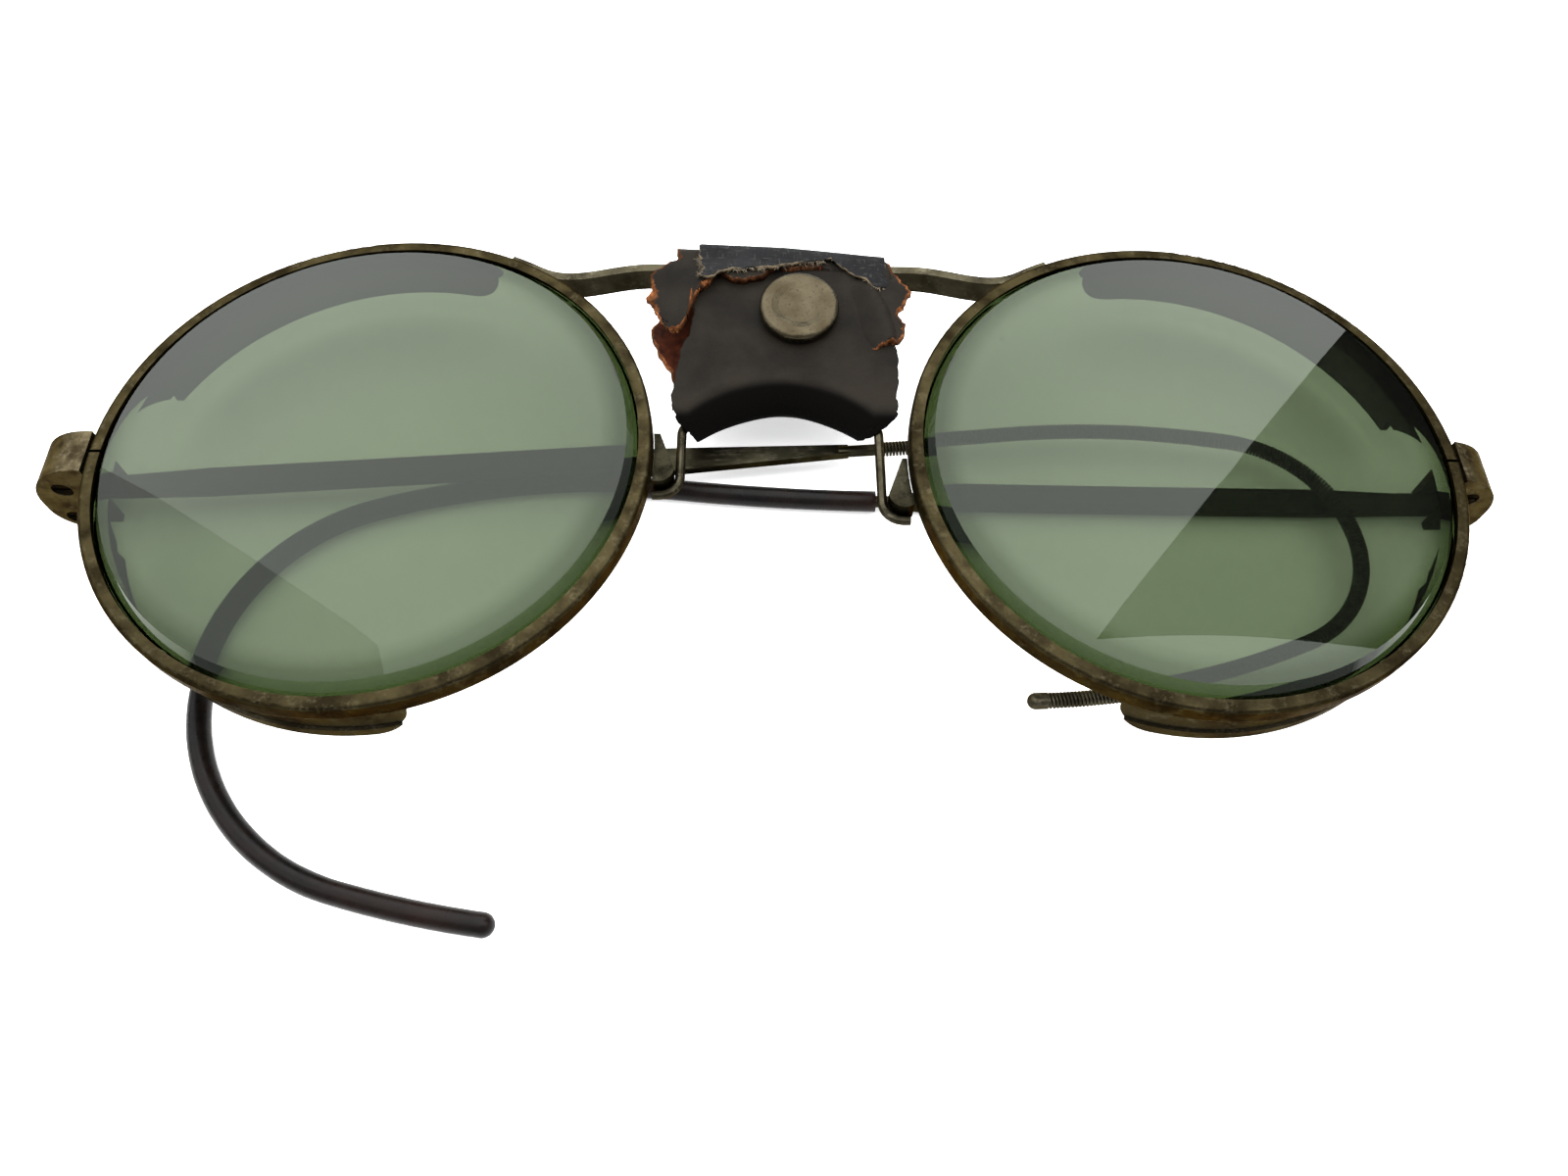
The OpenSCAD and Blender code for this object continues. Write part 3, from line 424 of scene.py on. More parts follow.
# direction, place of the pin, angle, length and rise of the bar, length of the cable, stretches;
# lengths in mm, and each stretch is a share of the cable with its turn in degrees
CABLES = {
    "left": (1, 67.0, 4.6, 77.5, 0.85, LEFT_CABLE,
             [(0.128, 1.7), (0.256, -16), (0.183, -76), (0.15, -71), (0.283, -21)]),
    "right": (-1, 65.6, 0.8, 56.2, -0.85, RIGHT_CABLE,
              [(0.173, 5.2), (0.269, -24.1), (0.303, -102.4), (0.144, -43.7), (0.111, -7.6)]),
}


def cable_route(side, step_mm=0.5):
    """Points and headings along a cable end: x, y, z in metres and the heading in radians."""
    mirror, pin, angle, bar, rise, whole, stretches = CABLES[side]
    heading = math.radians(angle)
    x = NECK + (bar * MM - NECK) * math.cos(heading)
    y = (bar * MM - NECK) * math.sin(heading)
    rows = [(x, y, heading)]
    for share, turn in stretches:
        length = share * whole
        count = max(2, int(length / step_mm))
        for _ in range(count):
            heading += math.radians(turn) / count / 2
            x += length * MM / count * math.cos(heading)
            y += length * MM / count * math.sin(heading)
            heading += math.radians(turn) / count / 2
            rows.append((x, y, heading))
    start = -mirror * pin * MM
    return [(Vector((start + mirror * px, py, PIN_Z + rise * MM)),
             Vector((mirror * math.cos(h), math.sin(h), 0))) for px, py, h in rows]


for side in CABLES:
    ends = cable_route(side)[-1][0]
    print(side, "cable ends at, mm:", [round(v / MM, 1) for v in ends])

# %% [markdown]
# The temples open down, away from the glasses, so an opened pair would reach through the table.
# A marker rides on the farthest point of each hook, and the table always stays under both
# markers. Folded, the table lies where it does in the picture; opened, the pair stands on its
# hooks.

# %% Keep the table under the hooks
HOOK_CLEARANCE = 1.2 * MM


def table_marker(side, body):
    """An empty at the far point of a hook that holds the table down when the temple opens."""
    mirror = CABLES[side][0]
    reach = max(mirror * point.x for point, _ in cable_route(side)) + HOOK_CLEARANCE
    marker = bpy.data.objects.new(side + "_hook_marker", None)
    marker.location = (mirror * reach, 0, 0)
    bpy.context.scene.collection.objects.link(marker)
    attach(marker, body)
    limit = table.constraints.new("FLOOR")
    limit.target, limit.floor_location = marker, "FLOOR_NEGATIVE_Z"
    print(marker.name, "at x, mm:", round(mirror * reach / MM, 1))


table_marker("left", "left_temple")
table_marker("right", "right_temple")


# %% Tube and winding along a route
def tube(name, route, radii, sides=24):
    """A closed tube whose ring number k has radius radii[k]."""
    points, faces = [], []
    for (centre, along), radius in zip(route, radii):
        across = Vector((-along.y, along.x, 0))
        for j in range(sides):
            a = 2 * math.pi * j / sides
            outward = math.cos(a) * across + math.sin(a) * Vector((0, 0, 1))
            points.append(centre + radius * outward)
    for k in range(len(radii) - 1):
        for j in range(sides):
            n = (j + 1) % sides
            faces.append((k * sides + j, k * sides + n, (k + 1) * sides + n, (k + 1) * sides + j))
    faces.append(tuple(range(sides - 1, -1, -1)))
    faces.append(tuple((len(radii) - 1) * sides + j for j in range(sides)))
    return mesh_object(name, points, faces)


def route_length(route):
    return sum((b[0] - a[0]).length for a, b in zip(route, route[1:]))


print("routes, mm:", [round(route_length(cable_route(side)) / MM, 1) for side in CABLES])

# %% [markdown]
# ## Wound cable of the left temple
# The bare hook is a steel core with fine wire wound round it, turn against turn. Two wires wound
# side by side give the steep slant that shows in the picture. Each wire is a real round strand
# here, because the row of small highlights along the cable comes from its shape.

# %% Wind the two strands
STRAND = 0.30 * MM
WOUND = 0.60 * MM
PITCH = 0.66 * MM


def strand(name, route, phase, per_turn=14, sides=6):
    length = route_length(route)
    count = int(length / PITCH * per_turn)
    lengths = np.cumsum([0.0] + [(b[0] - a[0]).length for a, b in zip(route, route[1:])])
    centres = np.array([p[0] for p in route])
    headings = np.array([p[1] for p in route])
    where = np.linspace(0, lengths[-1], count)
    middle = np.stack([np.interp(where, lengths, centres[:, k]) for k in range(3)], 1)
    along = np.stack([np.interp(where, lengths, headings[:, k]) for k in range(3)], 1)
    along /= np.linalg.norm(along, axis=1)[:, None]
    across = np.stack([-along[:, 1], along[:, 0], 0 * along[:, 0]], 1)
    turn = phase + 2 * math.pi * where / PITCH
    up = np.array((0, 0, 1.0))
    outward = np.cos(turn)[:, None] * across + np.sin(turn)[:, None] * up
    line = middle + WOUND * outward
    forward = np.gradient(line, axis=0)
    forward /= np.linalg.norm(forward, axis=1)[:, None]
    side = np.cross(forward, outward)
    points = np.concatenate([
        (line + STRAND / 2 * (math.cos(a) * outward + math.sin(a) * side))[:, None, :]
        for a in np.linspace(0, 2 * math.pi, sides, endpoint=False)], 1).reshape(-1, 3)
    faces = [(k * sides + j, (k + 1) * sides + j, (k + 1) * sides + (j + 1) % sides,
              k * sides + (j + 1) % sides) for k in range(count - 1) for j in range(sides)]
    return mesh_object(name, points, faces)


cable_metal = worn_metal("cable_wire", (0.062, 0.054, 0.035), (0.024, 0.021, 0.014),
                         (0.13, 0.115, 0.085), (0.3, 0.5), 2.0, 0.3)
put_on(cable_metal, "left_cable_core", "left_cable_tip", "right_cable_core",
       "right_cable_winding")
left_route = cable_route("left")
for k in (0, 1):
    winding = strand("cable_strand_%d" % (k + 1), left_route, math.pi * k)
    winding.data.materials.append(cable_metal)
    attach(winding, "left_temple")
    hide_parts("left_cable_winding")
print("left cable, mm:", round(route_length(left_route) / MM, 1))

# %% [markdown]
# ## Sleeve of the right temple
# The other hook wears a sleeve, drawn on warm and shrunk. It is black-brown and glossy, with
# small unevennesses and soft reddish patches. The end is rounded over.

# %% Sleeve
SLEEVE_R = 1.05 * MM
SLEEVE_END = 0.6 * MM
UNEVEN = 0.015 * MM


def sleeve_finish():
    f = Finish("sleeve")
    f.shader.inputs["Specular IOR Level"].default_value = 0.09
    clouds = f.clouds(6, 4)
    f.colour(f.mix(f.span(clouds, 0.40, 0.68), (0.003, 0.0025, 0.0022), (0.009, 0.0045, 0.0034)))
    fine = f.clouds(0.8, 5)
    f.gloss(f.span(fine, 0.3, 0.7, 0.22, 0.42))
    f.relief(fine, 0.03, 0.5)
    return f.material


def sleeve():
    route = cable_route("right")
    wave = random.Random(7)
    swell, radii = 0.0, []
    for _ in route:
        swell = 0.94 * swell + wave.uniform(-1, 1) * 0.006 * MM
        radii.append(SLEEVE_R - UNEVEN + max(-UNEVEN, min(UNEVEN, swell)))
    end, along = route[-1]
    for a in range(0, 91, 9):
        reach = SLEEVE_END + SLEEVE_R * math.sin(math.radians(a))
        route.append((end + along * reach, along))
        radii.append(max(SLEEVE_R * math.cos(math.radians(a)), 0.02 * MM))
    return tube("temple_sleeve", route, radii)


temple_sleeve = sleeve()
temple_sleeve.data.materials.append(sleeve_finish())
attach(temple_sleeve, "right_temple")
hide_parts("right_cable_sheath")
print("sleeve, mm:", round(route_length(cable_route("right")) / MM, 1))

# %% [markdown]
# ## Nose leather
# One long piece of hide hangs on the bridge. It runs down the front from under the brow bar,
# creases over the saddle wire and hangs below it in a fold, goes up behind, turns over the brow
# bar and comes down in front again as a torn flap: a wing at the left, a tongue at the right, and
# a short stub between. The hide is worked out as a grid, in millimetres: one direction runs
# along the section, the other across it, and each grid point gets a front and a back skin.

# %% Section of the hide
HIDE = 0.85
WIRE = dict(y=8.4, r=12.8, arc=math.radians(44))
BAR_Y, BAR_Z = 23.1, 8.3
BAR_HALF_THICK, BAR_HALF_HIGH, BAR_GAP = 0.45, 1.3, 0.1
FOLD_TOP_Z, FRONT_TOP_Z, FOLD_LOW_Z = 8.685, 10.295, 5.115
FRONT_TOP_Y = 22.0
LIFT = HIDE + 0.06
FRONT, ROLL, BACK, OVER, FLAP = 1.0, 2.0, 3.0, 4.0, 5.0  # where each stretch of the hide ends


def smoothstep(a, b, t):
    t = np.clip((t - a) / (b - a), 0, 1)
    return t * t * (3 - 2 * t)


def arch_y(x):
    """Place of the saddle wire under x."""
    reach = np.minimum(np.abs(x), WIRE["r"] * math.sin(WIRE["arc"]))
    return WIRE["y"] - WIRE["r"] + np.sqrt(WIRE["r"] ** 2 - reach ** 2)


def front_z(x, y):
    """Middle of the front layer: a plane from the fold up to the bar."""
    low = arch_y(x)
    return FOLD_TOP_Z + (y - low) / (BAR_Y - low) * (FRONT_TOP_Z - FOLD_TOP_Z)


def slackness(x):
    """The hide lies loose over the left of the bar and tight over the right."""
    return np.interp(x, (-12, 0, 6, 10, 12), (1.2, 0.6, 0.15, -0.25, -0.5))


print("fold of the hide at mid nose, mm:", round(float(arch_y(np.array(0.0))), 2))

# %% [markdown]
# The fold is a smooth curve led by four points: it starts at a crease a little above the wire,
# swings out past the wire and ends behind it. It hangs less far at the middle of the nose. The
# turn over the bar is a rounded square, because the bar is a flat strip on edge.

# %% Places along the section
CREASE_Y, CREASE_LIFT = 1.15, 0.22
HANG, HANG_LESS, NOSE_X, NOSE_WIDE = 3.0, 1.3, 0.6, 3.2
SWING_Y, SWING_Z, HANG_Z = 0.2, 8.7, 7.0


def crease(x):
    y = arch_y(x) + CREASE_Y
    return y, front_z(x, y) + CREASE_LIFT


def fold_point(x, t):
    low = arch_y(x)
    y0, z0 = crease(x)
    ways = (1 - t) ** 3, 3 * t * (1 - t) ** 2, 3 * t * t * (1 - t), t ** 3
    hang = HANG - HANG_LESS * np.exp(-((x - NOSE_X) / NOSE_WIDE) ** 2)
    y = ways[0] * y0 + ways[1] * (low + SWING_Y) + ways[2] * (low - hang) + ways[3] * low
    z = ways[0] * z0 + ways[1] * SWING_Z + ways[2] * HANG_Z + ways[3] * FOLD_LOW_Z
    return y, z


def over_point(x, t, extra=0.0):
    """Round the bar, from below at t = 0 to the top at t = 1."""
    loose = slackness(x)
    a = math.pi * (t - 0.5)
    wide = BAR_HALF_THICK + BAR_GAP + HIDE / 2 + 0.7 * loose + extra
    high = BAR_HALF_HIGH + BAR_GAP + HIDE / 2 + 0.5 * loose * (1 + math.sin(a)) / 2 + extra
    power = np.interp(x, (0, 10), (0.6, 0.75))
    rise = math.copysign(1, a) * abs(math.sin(a)) ** power
    return BAR_Y + wide * max(math.cos(a), 0) ** power, BAR_Z + high * rise


RIDGE_Y, RIDGE_X = (12, 14.5, 17, 20.5), (10.9, 10.75, 10.2, 8.6)
TONGUE_Y, TONGUE_X = (12.7, 14.3, 16.9, 21, 22), (7.7, 6.9, 6.2, 5.4, 5.0)
STEP_HIGH, STEP_DOWN, SUNK, WING_DROOP = 0.42, 0.25, 0.35, 0.75


def flap_z(x, y):
    """Middle of the flap, from the top of the bar on to the front layer."""
    top = BAR_Z + BAR_HALF_HIGH + BAR_GAP + HIDE / 2 + 0.5 * slackness(x)
    down = BAR_Y - y
    ridge = np.interp(y, RIDGE_Y, RIDGE_X)
    inner = np.interp(y, TONGUE_Y, TONGUE_X)
    tongue = smoothstep(0.0, 3.8, x - inner) * smoothstep(0.5, 4, down)
    step = STEP_HIGH * (1 - smoothstep(-0.35, 0.45, x - ridge)) - STEP_DOWN
    right = smoothstep(3.5, 5.5, x)
    lie = LIFT * (1 - right) + right * (-SUNK + (LIFT + 0.08 + step) * tongue)
    droop = WING_DROOP * smoothstep(8.8, 12.6, -x) * smoothstep(1, 8, down)
    return top + (front_z(x, y) + lie - top) * smoothstep(0.2, 2.7, down) - droop


print("top of the flap over the bar, mm:", round(float(flap_z(0.0, BAR_Y)), 2))

# %% [markdown]
# The torn outline is a short table on each side: how far the hide reaches from the middle at
# each place along its section. Two more tables give the inner edges of the wing and the tongue,
# and one gives the length of the flap across its width.

# %% Torn outline
LEFT_EDGE = ((0.0, 9.0), (0.36, 8.6), (0.5, 8.9), (0.62, 9.7), (0.8, 10.2), (1.0, 10.2),
             (1.25, 9.9), (1.4, 9.1), (1.5, 8.7), (1.7, 8.2), (2.0, 7.5), (2.2, 9.6), (2.4, 10.9),
             (2.5, 11.5), (2.6, 12.4), (2.68, 13.0), (2.77, 12.5), (2.9, 10.6), (3.1, 10.1),
             (4.0, 10.2), (4.1, 10.9), (4.22, 11.7), (4.38, 13.1), (4.5, 12.6), (4.64, 12.9),
             (4.85, 12.3), (4.94, 11.9), (5.0, 11.2))
RIGHT_EDGE = ((0.0, 11.0), (0.6, 11.3), (0.84, 11.2), (1.0, 11.1), (1.25, 10.8), (1.4, 9.7),
              (1.5, 8.8), (1.7, 8.1), (2.0, 7.4), (2.2, 9.2), (2.4, 10.6), (2.6, 11.3),
              (2.8, 11.6), (3.0, 10.9), (3.3, 10.5), (4.0, 10.6), (4.2, 11.9), (4.3, 12.4),
              (4.4, 12.6), (4.48, 12.4), (4.58, 11.9), (4.72, 11.6), (4.78, 12.1), (4.9, 11.8),
              (5.0, 11.4))
WING_INNER = ((4.0, -6.4), (4.39, -6.6), (4.47, -6.9), (4.58, -7.9), (4.78, -8.5), (5.0, -9.0))
TONGUE_INNER = ((4.0, 5.0), (4.2, 5.4), (4.6, 6.2), (4.85, 6.9), (5.0, 7.9))
FLAP_LENGTH = ((0.0, 7.6), (0.05, 8.7), (0.10, 9.0), (0.14, 8.2), (0.17, 7.0), (0.182, 1.5),
               (0.25, 1.2), (0.30, 2.9), (0.40, 2.7), (0.44, 1.3), (0.60, 0.9), (0.705, 1.4),
               (0.72, 10.2), (0.8, 10.5), (0.9, 10.3), (1.0, 9.9))
SHARES = (0.0, 0.17, 0.72, 1.0)


def table(rows, at):
    places, values = zip(*rows)
    return np.interp(at, places, values)


def ragged(t, seed, size):
    """A torn line: waves of several lengths, in mm."""
    dice = random.Random(seed)
    line = 0 * t
    for length, share in ((3.7, 0.6), (1.6, 0.42), (0.7, 0.28), (0.33, 0.16)):
        line = line + size * share * np.sin(2 * math.pi * t / length + dice.uniform(0, 6.28))
    return line


def row_across(u, across):
    """Places across the hide at u, between its two torn edges."""
    loose = 0.3 if u > ROLL else 0.16
    lo = -table(LEFT_EDGE, u) + float(ragged(np.array(u * 9), 11, loose))
    hi = table(RIGHT_EDGE, u) + float(ragged(np.array(u * 9), 12, loose))
    even = lo + (hi - lo) * np.array(SHARES)
    torn = np.array((lo, table(WING_INNER, u), table(TONGUE_INNER, u), hi))
    return np.interp(across, SHARES, even + (torn - even) * smoothstep(ROLL, BACK, u))


print("hide across the bar, mm:", round(float(np.ptp(row_across(BACK, np.array(SHARES)))), 1))

# %% [markdown]
# Both skins of a layer are built at once from its middle: the outward direction comes from the
# slope of the section. Three masks are stored on the points. One says how near a torn edge is,
# for the brown fibres, one marks the inner, flesh side, and one marks the face below the crease,
# which the finish paints near-black as painted shade.

# %% Build a layer of hide from a grid
def store_mask(piece, name, values):
    mask = piece.data.attributes.new(name, "FLOAT", "POINT")
    mask.data.foreach_set("value", np.asarray(values, np.float32))


def hide_layer(name, rows, thickness, torn, fold=0):
    """rows is an array [n][m] of middle points in mm; returns the closed, two-skinned piece."""
    grid = np.array(rows, float)
    n, m = grid.shape[:2]
    down = np.gradient(grid, axis=0)
    across = np.gradient(grid, axis=1)
    out = np.cross(across, down)
    out /= np.maximum(np.linalg.norm(out, axis=2), 1e-9)[:, :, None]
    half = np.asarray(thickness)[..., None] / 2 * np.ones((n, m, 1))
    skins = [grid - half * out, grid + half * out]
    points = np.concatenate([s.reshape(-1, 3) for s in skins]) * MM
    size = n * m
    faces = []
    for i in range(n - 1):
        for j in range(m - 1):
            a, b, c, d = i * m + j, i * m + j + 1, (i + 1) * m + j + 1, (i + 1) * m + j
            faces.append((a, d, c, b))
            faces.append((size + a, size + b, size + c, size + d))
    rim = ([(i * m, (i + 1) * m) for i in range(n - 1)]
           + [((n - 1) * m + j, (n - 1) * m + j + 1) for j in range(m - 1)]
           + [((i + 1) * m + m - 1, i * m + m - 1) for i in range(n - 2, -1, -1)]
           + [(j + 1, j) for j in range(m - 2, -1, -1)])
    faces += [(a, size + a, size + b, b) for a, b in rim]
    piece = mesh_object(name, points, faces)
    store_mask(piece, "torn", np.concatenate([torn.ravel(), torn.ravel()]))
    store_mask(piece, "flesh", np.concatenate([np.zeros(size), np.ones(size)]))
    shade = (fold * np.ones((n, m))).ravel()
    store_mask(piece, "fold", np.concatenate([shade, shade]))
    return piece


# %% Finish of the hide
def leather_finish(name, body, worn, edge, flesh, grain_mm=0.5, gloss=(0.42, 0.6), depth=0.03):
    f = Finish(name)
    f.shader.inputs["Specular IOR Level"].default_value = 0.04
    clouds = f.clouds(5, 4)
    fine = f.clouds(0.22, 5, 0.6)
    skin = f.mix(f.span(clouds, 0.36, 0.66), body, worn)
    fray = f.math("MULTIPLY", f.span(f.clouds(0.30, 5, 0.65, (1, 0.3, 1)), 0.36, 0.6),
                  f.span(f.clouds(2.2, 3), 0.45, 0.62))
    fibre = f.mix(fray, tuple(0.16 * c for c in edge), edge)
    suede = f.mix(f.span(f.clouds(1.2, 5), 0.35, 0.65), flesh, tuple(0.3 * c for c in flesh))
    sided = f.mix(f.span(f.mask("flesh"), 0.45, 0.55), skin, suede)
    torn = f.span(f.math("ADD", f.mask("torn"), f.math("MULTIPLY", fine, 0.9)), 0.9, 1.15)
    # The face below the crease, where the fold mask is 1, is painted near-black: painted shade
    # under the overhanging crease.
    painted_shade = f.mix(f.mask("fold"), sided, tuple(0.08 * c for c in body))
    f.colour(f.mix(torn, painted_shade, fibre))
    dull = f.math("MAXIMUM", torn, f.mask("fold"))
    f.gloss(f.math("MAXIMUM", f.span(fine, 0.3, 0.7, *gloss), f.math("MULTIPLY", dull, 0.9)))
    height = f.math("ADD", f.math("MULTIPLY", f.spots(grain_mm), 0.4),
                    f.math("MULTIPLY", fine, 0.6))
    f.relief(height, depth, 0.6)
    return f.material


hide_skin = leather_finish("hide_smooth", (0.0120, 0.0095, 0.0068), (0.0060, 0.0050, 0.0038),
                           (0.26, 0.092, 0.031), (0.055, 0.012, 0.004))
print("leather finish made")

# %% [markdown]
# The main layer keeps to the space of the model's. Its front sags a little between the snap and
# the crease, and puckers round the snap. How near a point is to a torn edge follows from its
# distance to the ends of its row, and on the flap also to its lower end.

# %% Main layer
SNAP = np.array((1.8, 17.0))
ROWS = ((0, FRONT, 52), (FRONT, ROLL, 22), (ROLL, BACK, 40), (BACK, OVER, 18), (OVER, FLAP, 46))
ACROSS = 128
NOTCHES = (0.172, 0.176, 0.18, 0.706, 0.71, 0.714)  # extra columns beside the stub
FRAY, WIDE_FRAY, WIDE_FRAY_AT, WIDE_FRAY_LONG = 0.45, 1.3, 4.66, 0.16


def puckers(x, y):
    """Small folds that run into the snap, and a soft sag below it, in mm."""
    dx, dy = x - SNAP[0], y - SNAP[1]
    r = np.hypot(dx, dy)
    a = np.arctan2(dy, dx)
    rays = 0.06 * np.sin(5 * a + 1.3) * np.exp(-((r - 6.2) / 2.0) ** 2)
    sag = 0.13 * np.exp(-((y - arch_y(x) - 3.4) / 1.5) ** 2)
    return rays - sag + 0.05 * np.sin(0.7 * x) * smoothstep(5, 9, r)


def hide_row(u, x, length):
    """Heights and depths of the middle of the hide along one row."""
    if u <= FRONT:
        y0, z0 = crease(x)
        y = FRONT_TOP_Y + (y0 - FRONT_TOP_Y) * u
        swell = CREASE_LIFT * np.exp(-((y - y0) / 1.1) ** 2)
        return y, front_z(x, y) + swell + puckers(x, y) * smoothstep(0, 0.15, u)
    if u <= ROLL:
        return fold_point(x, u - FRONT)
    if u <= BACK:
        low = arch_y(x)
        end_y, end_z = over_point(x, 0.0)
        t = u - ROLL
        return low + (end_y - low) * t, FOLD_LOW_Z + (end_z - FOLD_LOW_Z) * t
    if u <= OVER:
        return over_point(x, u - BACK)
    y = BAR_Y - length * (u - OVER)
    return y, flap_z(x, y)


def main_layer():
    stops = np.concatenate([np.linspace(a, b, n, endpoint=b == FLAP) for a, b, n in ROWS])
    across = np.sort(np.concatenate([np.linspace(0, 1, ACROSS), NOTCHES]))
    length = table(FLAP_LENGTH, across) + ragged(across * 22, 3, 0.2)
    rows, torn = [], []
    # The fold mask marks the face below the crease, which the finish paints near-black as painted
    # shade.
    fold = smoothstep(1.04, 1.22, stops) * (1 - smoothstep(1.80, 1.95, stops))
    for u in stops:
        x = row_across(float(u), across)
        y, z = hide_row(float(u), x, length)
        rows.append(np.stack([x, y, z], 1))
        wide = WIDE_FRAY * math.exp(-((u - WIDE_FRAY_AT) / WIDE_FRAY_LONG) ** 2)
        near = np.minimum((x - x[0]) / (FRAY + wide), (x[-1] - x) / 0.5)
        if u > OVER:
            near = np.minimum(near, (FLAP - u) * length / FRAY)
            inner = np.where(across < 0.175, (table(WING_INNER, u) - x) / 0.5, 9)
            near = np.minimum(near, np.maximum(inner, 0.45 * (u < 4.4)))
        covered = 0.6 if u > OVER else 1.0
        share = np.where((across > 0.182) & (across < 0.71), covered, 1.0)
        torn.append((1 - np.clip(near, 0, 1)) * share * (1 if u > ROLL else 0.25))
    grid = np.array(rows)
    flat_long = np.median(np.linalg.norm(np.diff(grid, axis=0), axis=2).sum(axis=0))
    flat_wide = np.median(grid[:, -1, 0] - grid[:, 0, 0])
    print("hide laid flat, mm:", round(float(flat_long), 1), "by", round(float(flat_wide), 1))
    return hide_layer("nose_leather_wrap", rows, HIDE, np.array(torn), fold[:, None])


wrap = main_layer()
wrap.data.materials.append(hide_skin)
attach(wrap, "front")
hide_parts("nose_leather")

# %% [markdown]
# Over the brow bar lies what is left of a black, coarse outer coat. It is a thin separate layer
# on top of the flap. Its surface is a mesh of fine crossing threads, and its lower edge climbs
# over a hole above the snap, then drops into a round lobe over the tongue.

# %% Coarse coat over the bar
COAT = 0.3
COAT_LEFT, COAT_WIDE = -7.9, 18.7
COAT_ROWS, COAT_ACROSS = 40, 110
COAT_TURN = 0.4  # share of the coat's rows that lie round the bar
COAT_LOW = ((-8.4, 20.5), (-7.6, 19.9), (-6.6, 19.9), (-5.8, 20.6), (-5.0, 21.0), (-2.3, 21.2),
            (-0.3, 21.6), (1.6, 22.1), (2.6, 22.7), (5.0, 22.9), (5.8, 22.4), (7.2, 21.3),
            (8.6, 20.0), (9.3, 19.5), (9.9, 19.4), (10.4, 19.8), (10.8, 20.8))


def coat_finish():
    f = Finish("hide_coarse")
    f.shader.inputs["Specular IOR Level"].default_value = 0.05
    warp = f.clouds(0.34, 3, 0.5, (0.35, 1.6, 1))
    weft = f.clouds(0.34, 3, 0.5, (1.6, 0.35, 1))
    threads = f.math("MAXIMUM", warp, weft)
    faded = f.span(f.clouds(4, 4), 0.35, 0.65)
    dark = f.mix(faded, (0.007, 0.007, 0.0075), (0.012, 0.012, 0.0125))
    cloth = f.mix(f.span(threads, 0.60, 0.80), dark, (0.040, 0.039, 0.037))
    torn = f.span(f.math("ADD", f.mask("torn"), f.math("MULTIPLY", warp, 0.8)), 0.95, 1.2)
    patches = f.math("MULTIPLY", torn, f.span(f.clouds(1.8, 3), 0.42, 0.6))
    f.colour(f.mix(patches, cloth, (0.15, 0.115, 0.07)))
    f.gloss(f.span(threads, 0.4, 0.8, 0.75, 0.5))
    f.relief(threads, 0.09, 0.8)
    return f.material


def coat_layer():
    rows, torn = [], []
    across = np.linspace(0, 1, COAT_ACROSS)
    for t in np.linspace(0, 1, COAT_ROWS):
        tear = float(ragged(np.array(t * 5), 21, 0.3))
        x = COAT_LEFT + COAT_WIDE * across + tear * (1 - across)
        x = x + (0.4 * smoothstep(0.5, 0.9, np.array(t)) - 0.3) * smoothstep(0.8, 1, across)
        low = table(COAT_LOW, x) + ragged(x, 22, 0.16)
        if t < COAT_TURN:
            over = HIDE / 2 + COAT - 0.15 * smoothstep(0, 10, x)
            y, z = over_point(x, 0.45 + 0.55 * t / COAT_TURN, over)
        else:
            y = BAR_Y - (BAR_Y - low) * (t - COAT_TURN) / (1 - COAT_TURN)
            z = flap_z(x, np.maximum(y, 20.4)) + HIDE / 2 + COAT
            z = z - 0.5 * smoothstep(9.6, 11.0, x)
        rows.append(np.stack([x, y, z], 1))
        near = np.minimum(x - x[0], (x[-1] - x) * 2)
        near = np.minimum(near, (y - low) if t > COAT_TURN else 9) / 0.22
        torn.append(1 - np.clip(near, 0, 1))
    return hide_layer("nose_leather_coat", rows, COAT, np.array(torn)), np.array(rows)


coat, coat_rows = coat_layer()
coat.data.materials.append(coat_finish())
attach(coat, "front")
print("leather layers:", len(wrap.data.polygons), "and", len(coat.data.polygons), "faces")

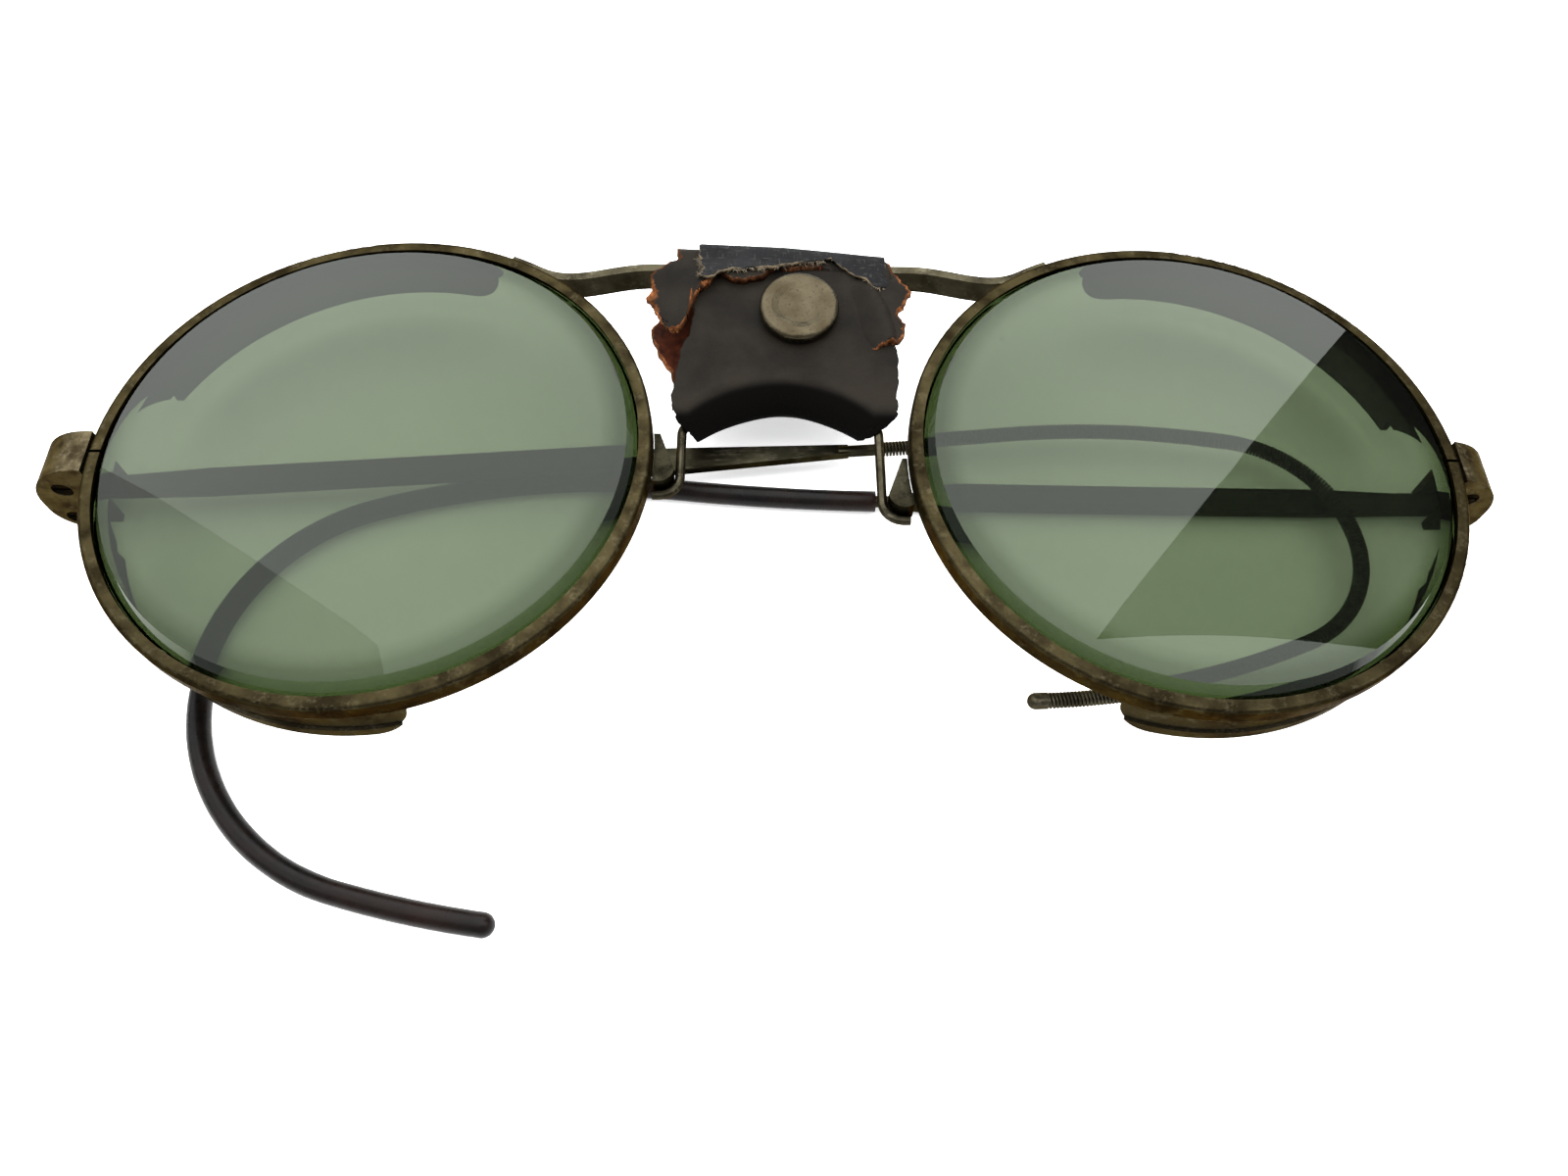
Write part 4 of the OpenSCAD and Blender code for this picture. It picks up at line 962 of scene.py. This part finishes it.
# %% [markdown]
# Frayed threads stand out from the torn lower and left edges of the coat. Each is a thin tapered
# wisp of a few segments that starts on the edge and wanders off it.

# %% Frayed threads
SEGMENTS = 4
THREE_SIDES = (0, 2.094, 4.189)  # radians


def wisps(name, starts, away, count, seed, long_mm, thick_mm):
    """Tapered threads from random places of a line of start points, drifting away from it."""
    dice = random.Random(seed)
    points, faces = [], []
    for _ in range(count):
        k = dice.randrange(len(starts) - 1)
        at = Vector(starts[k]).lerp(Vector(starts[k + 1]), dice.random())
        way = (Vector(away) + Vector([dice.uniform(-0.8, 0.8) for _ in range(3)])).normalized()
        length = long_mm * dice.uniform(0.3, 1.0)
        side = way.cross(Vector((0.3, 0.2, 1))).normalized()
        other = way.cross(side)
        first = len(points)
        for step in range(SEGMENTS + 1):
            r = thick_mm * (1 - 0.22 * step)
            points += [(at + r * (math.cos(a) * side + math.sin(a) * other)) * MM
                       for a in THREE_SIDES]
            curl = Vector([dice.uniform(-0.5, 0.5) for _ in range(3)])
            curl.z = max(curl.z, -0.1)
            way = (way + curl).normalized()
            at = at + way * length / SEGMENTS
        for step in range(SEGMENTS):
            for j in range(3):
                a, b = first + 3 * step + j, first + 3 * step + (j + 1) % 3
                faces.append((a, b, b + 3, a + 3))
    return mesh_object(name, points, faces)


def thread_finish():
    f = Finish("pale_thread", roughness=0.85)
    f.colour(f.mix(f.span(f.clouds(1.5, 3), 0.35, 0.65), (0.25, 0.20, 0.13), (0.08, 0.06, 0.04)))
    return f.material


thread = thread_finish()
low_edge = [tuple(p) for p in coat_rows[-1] if -5.6 < p[0] < 4.4 or p[0] > 8.2]
left_edge = [tuple(p) for p in coat_rows[18:, 0]]
for name, line, away, count, seed in (
        ("coat_threads_low", low_edge, (0, -0.8, -0.25), 150, 5),
        ("coat_threads_left", left_edge, (-0.8, -0.3, -0.2), 70, 6)):
    piece = wisps(name, line, away, count, seed, 0.8, 0.035)
    piece.data.materials.append(thread)
    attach(piece, "front")
print("threads placed along", len(low_edge) + len(left_edge), "edge points")
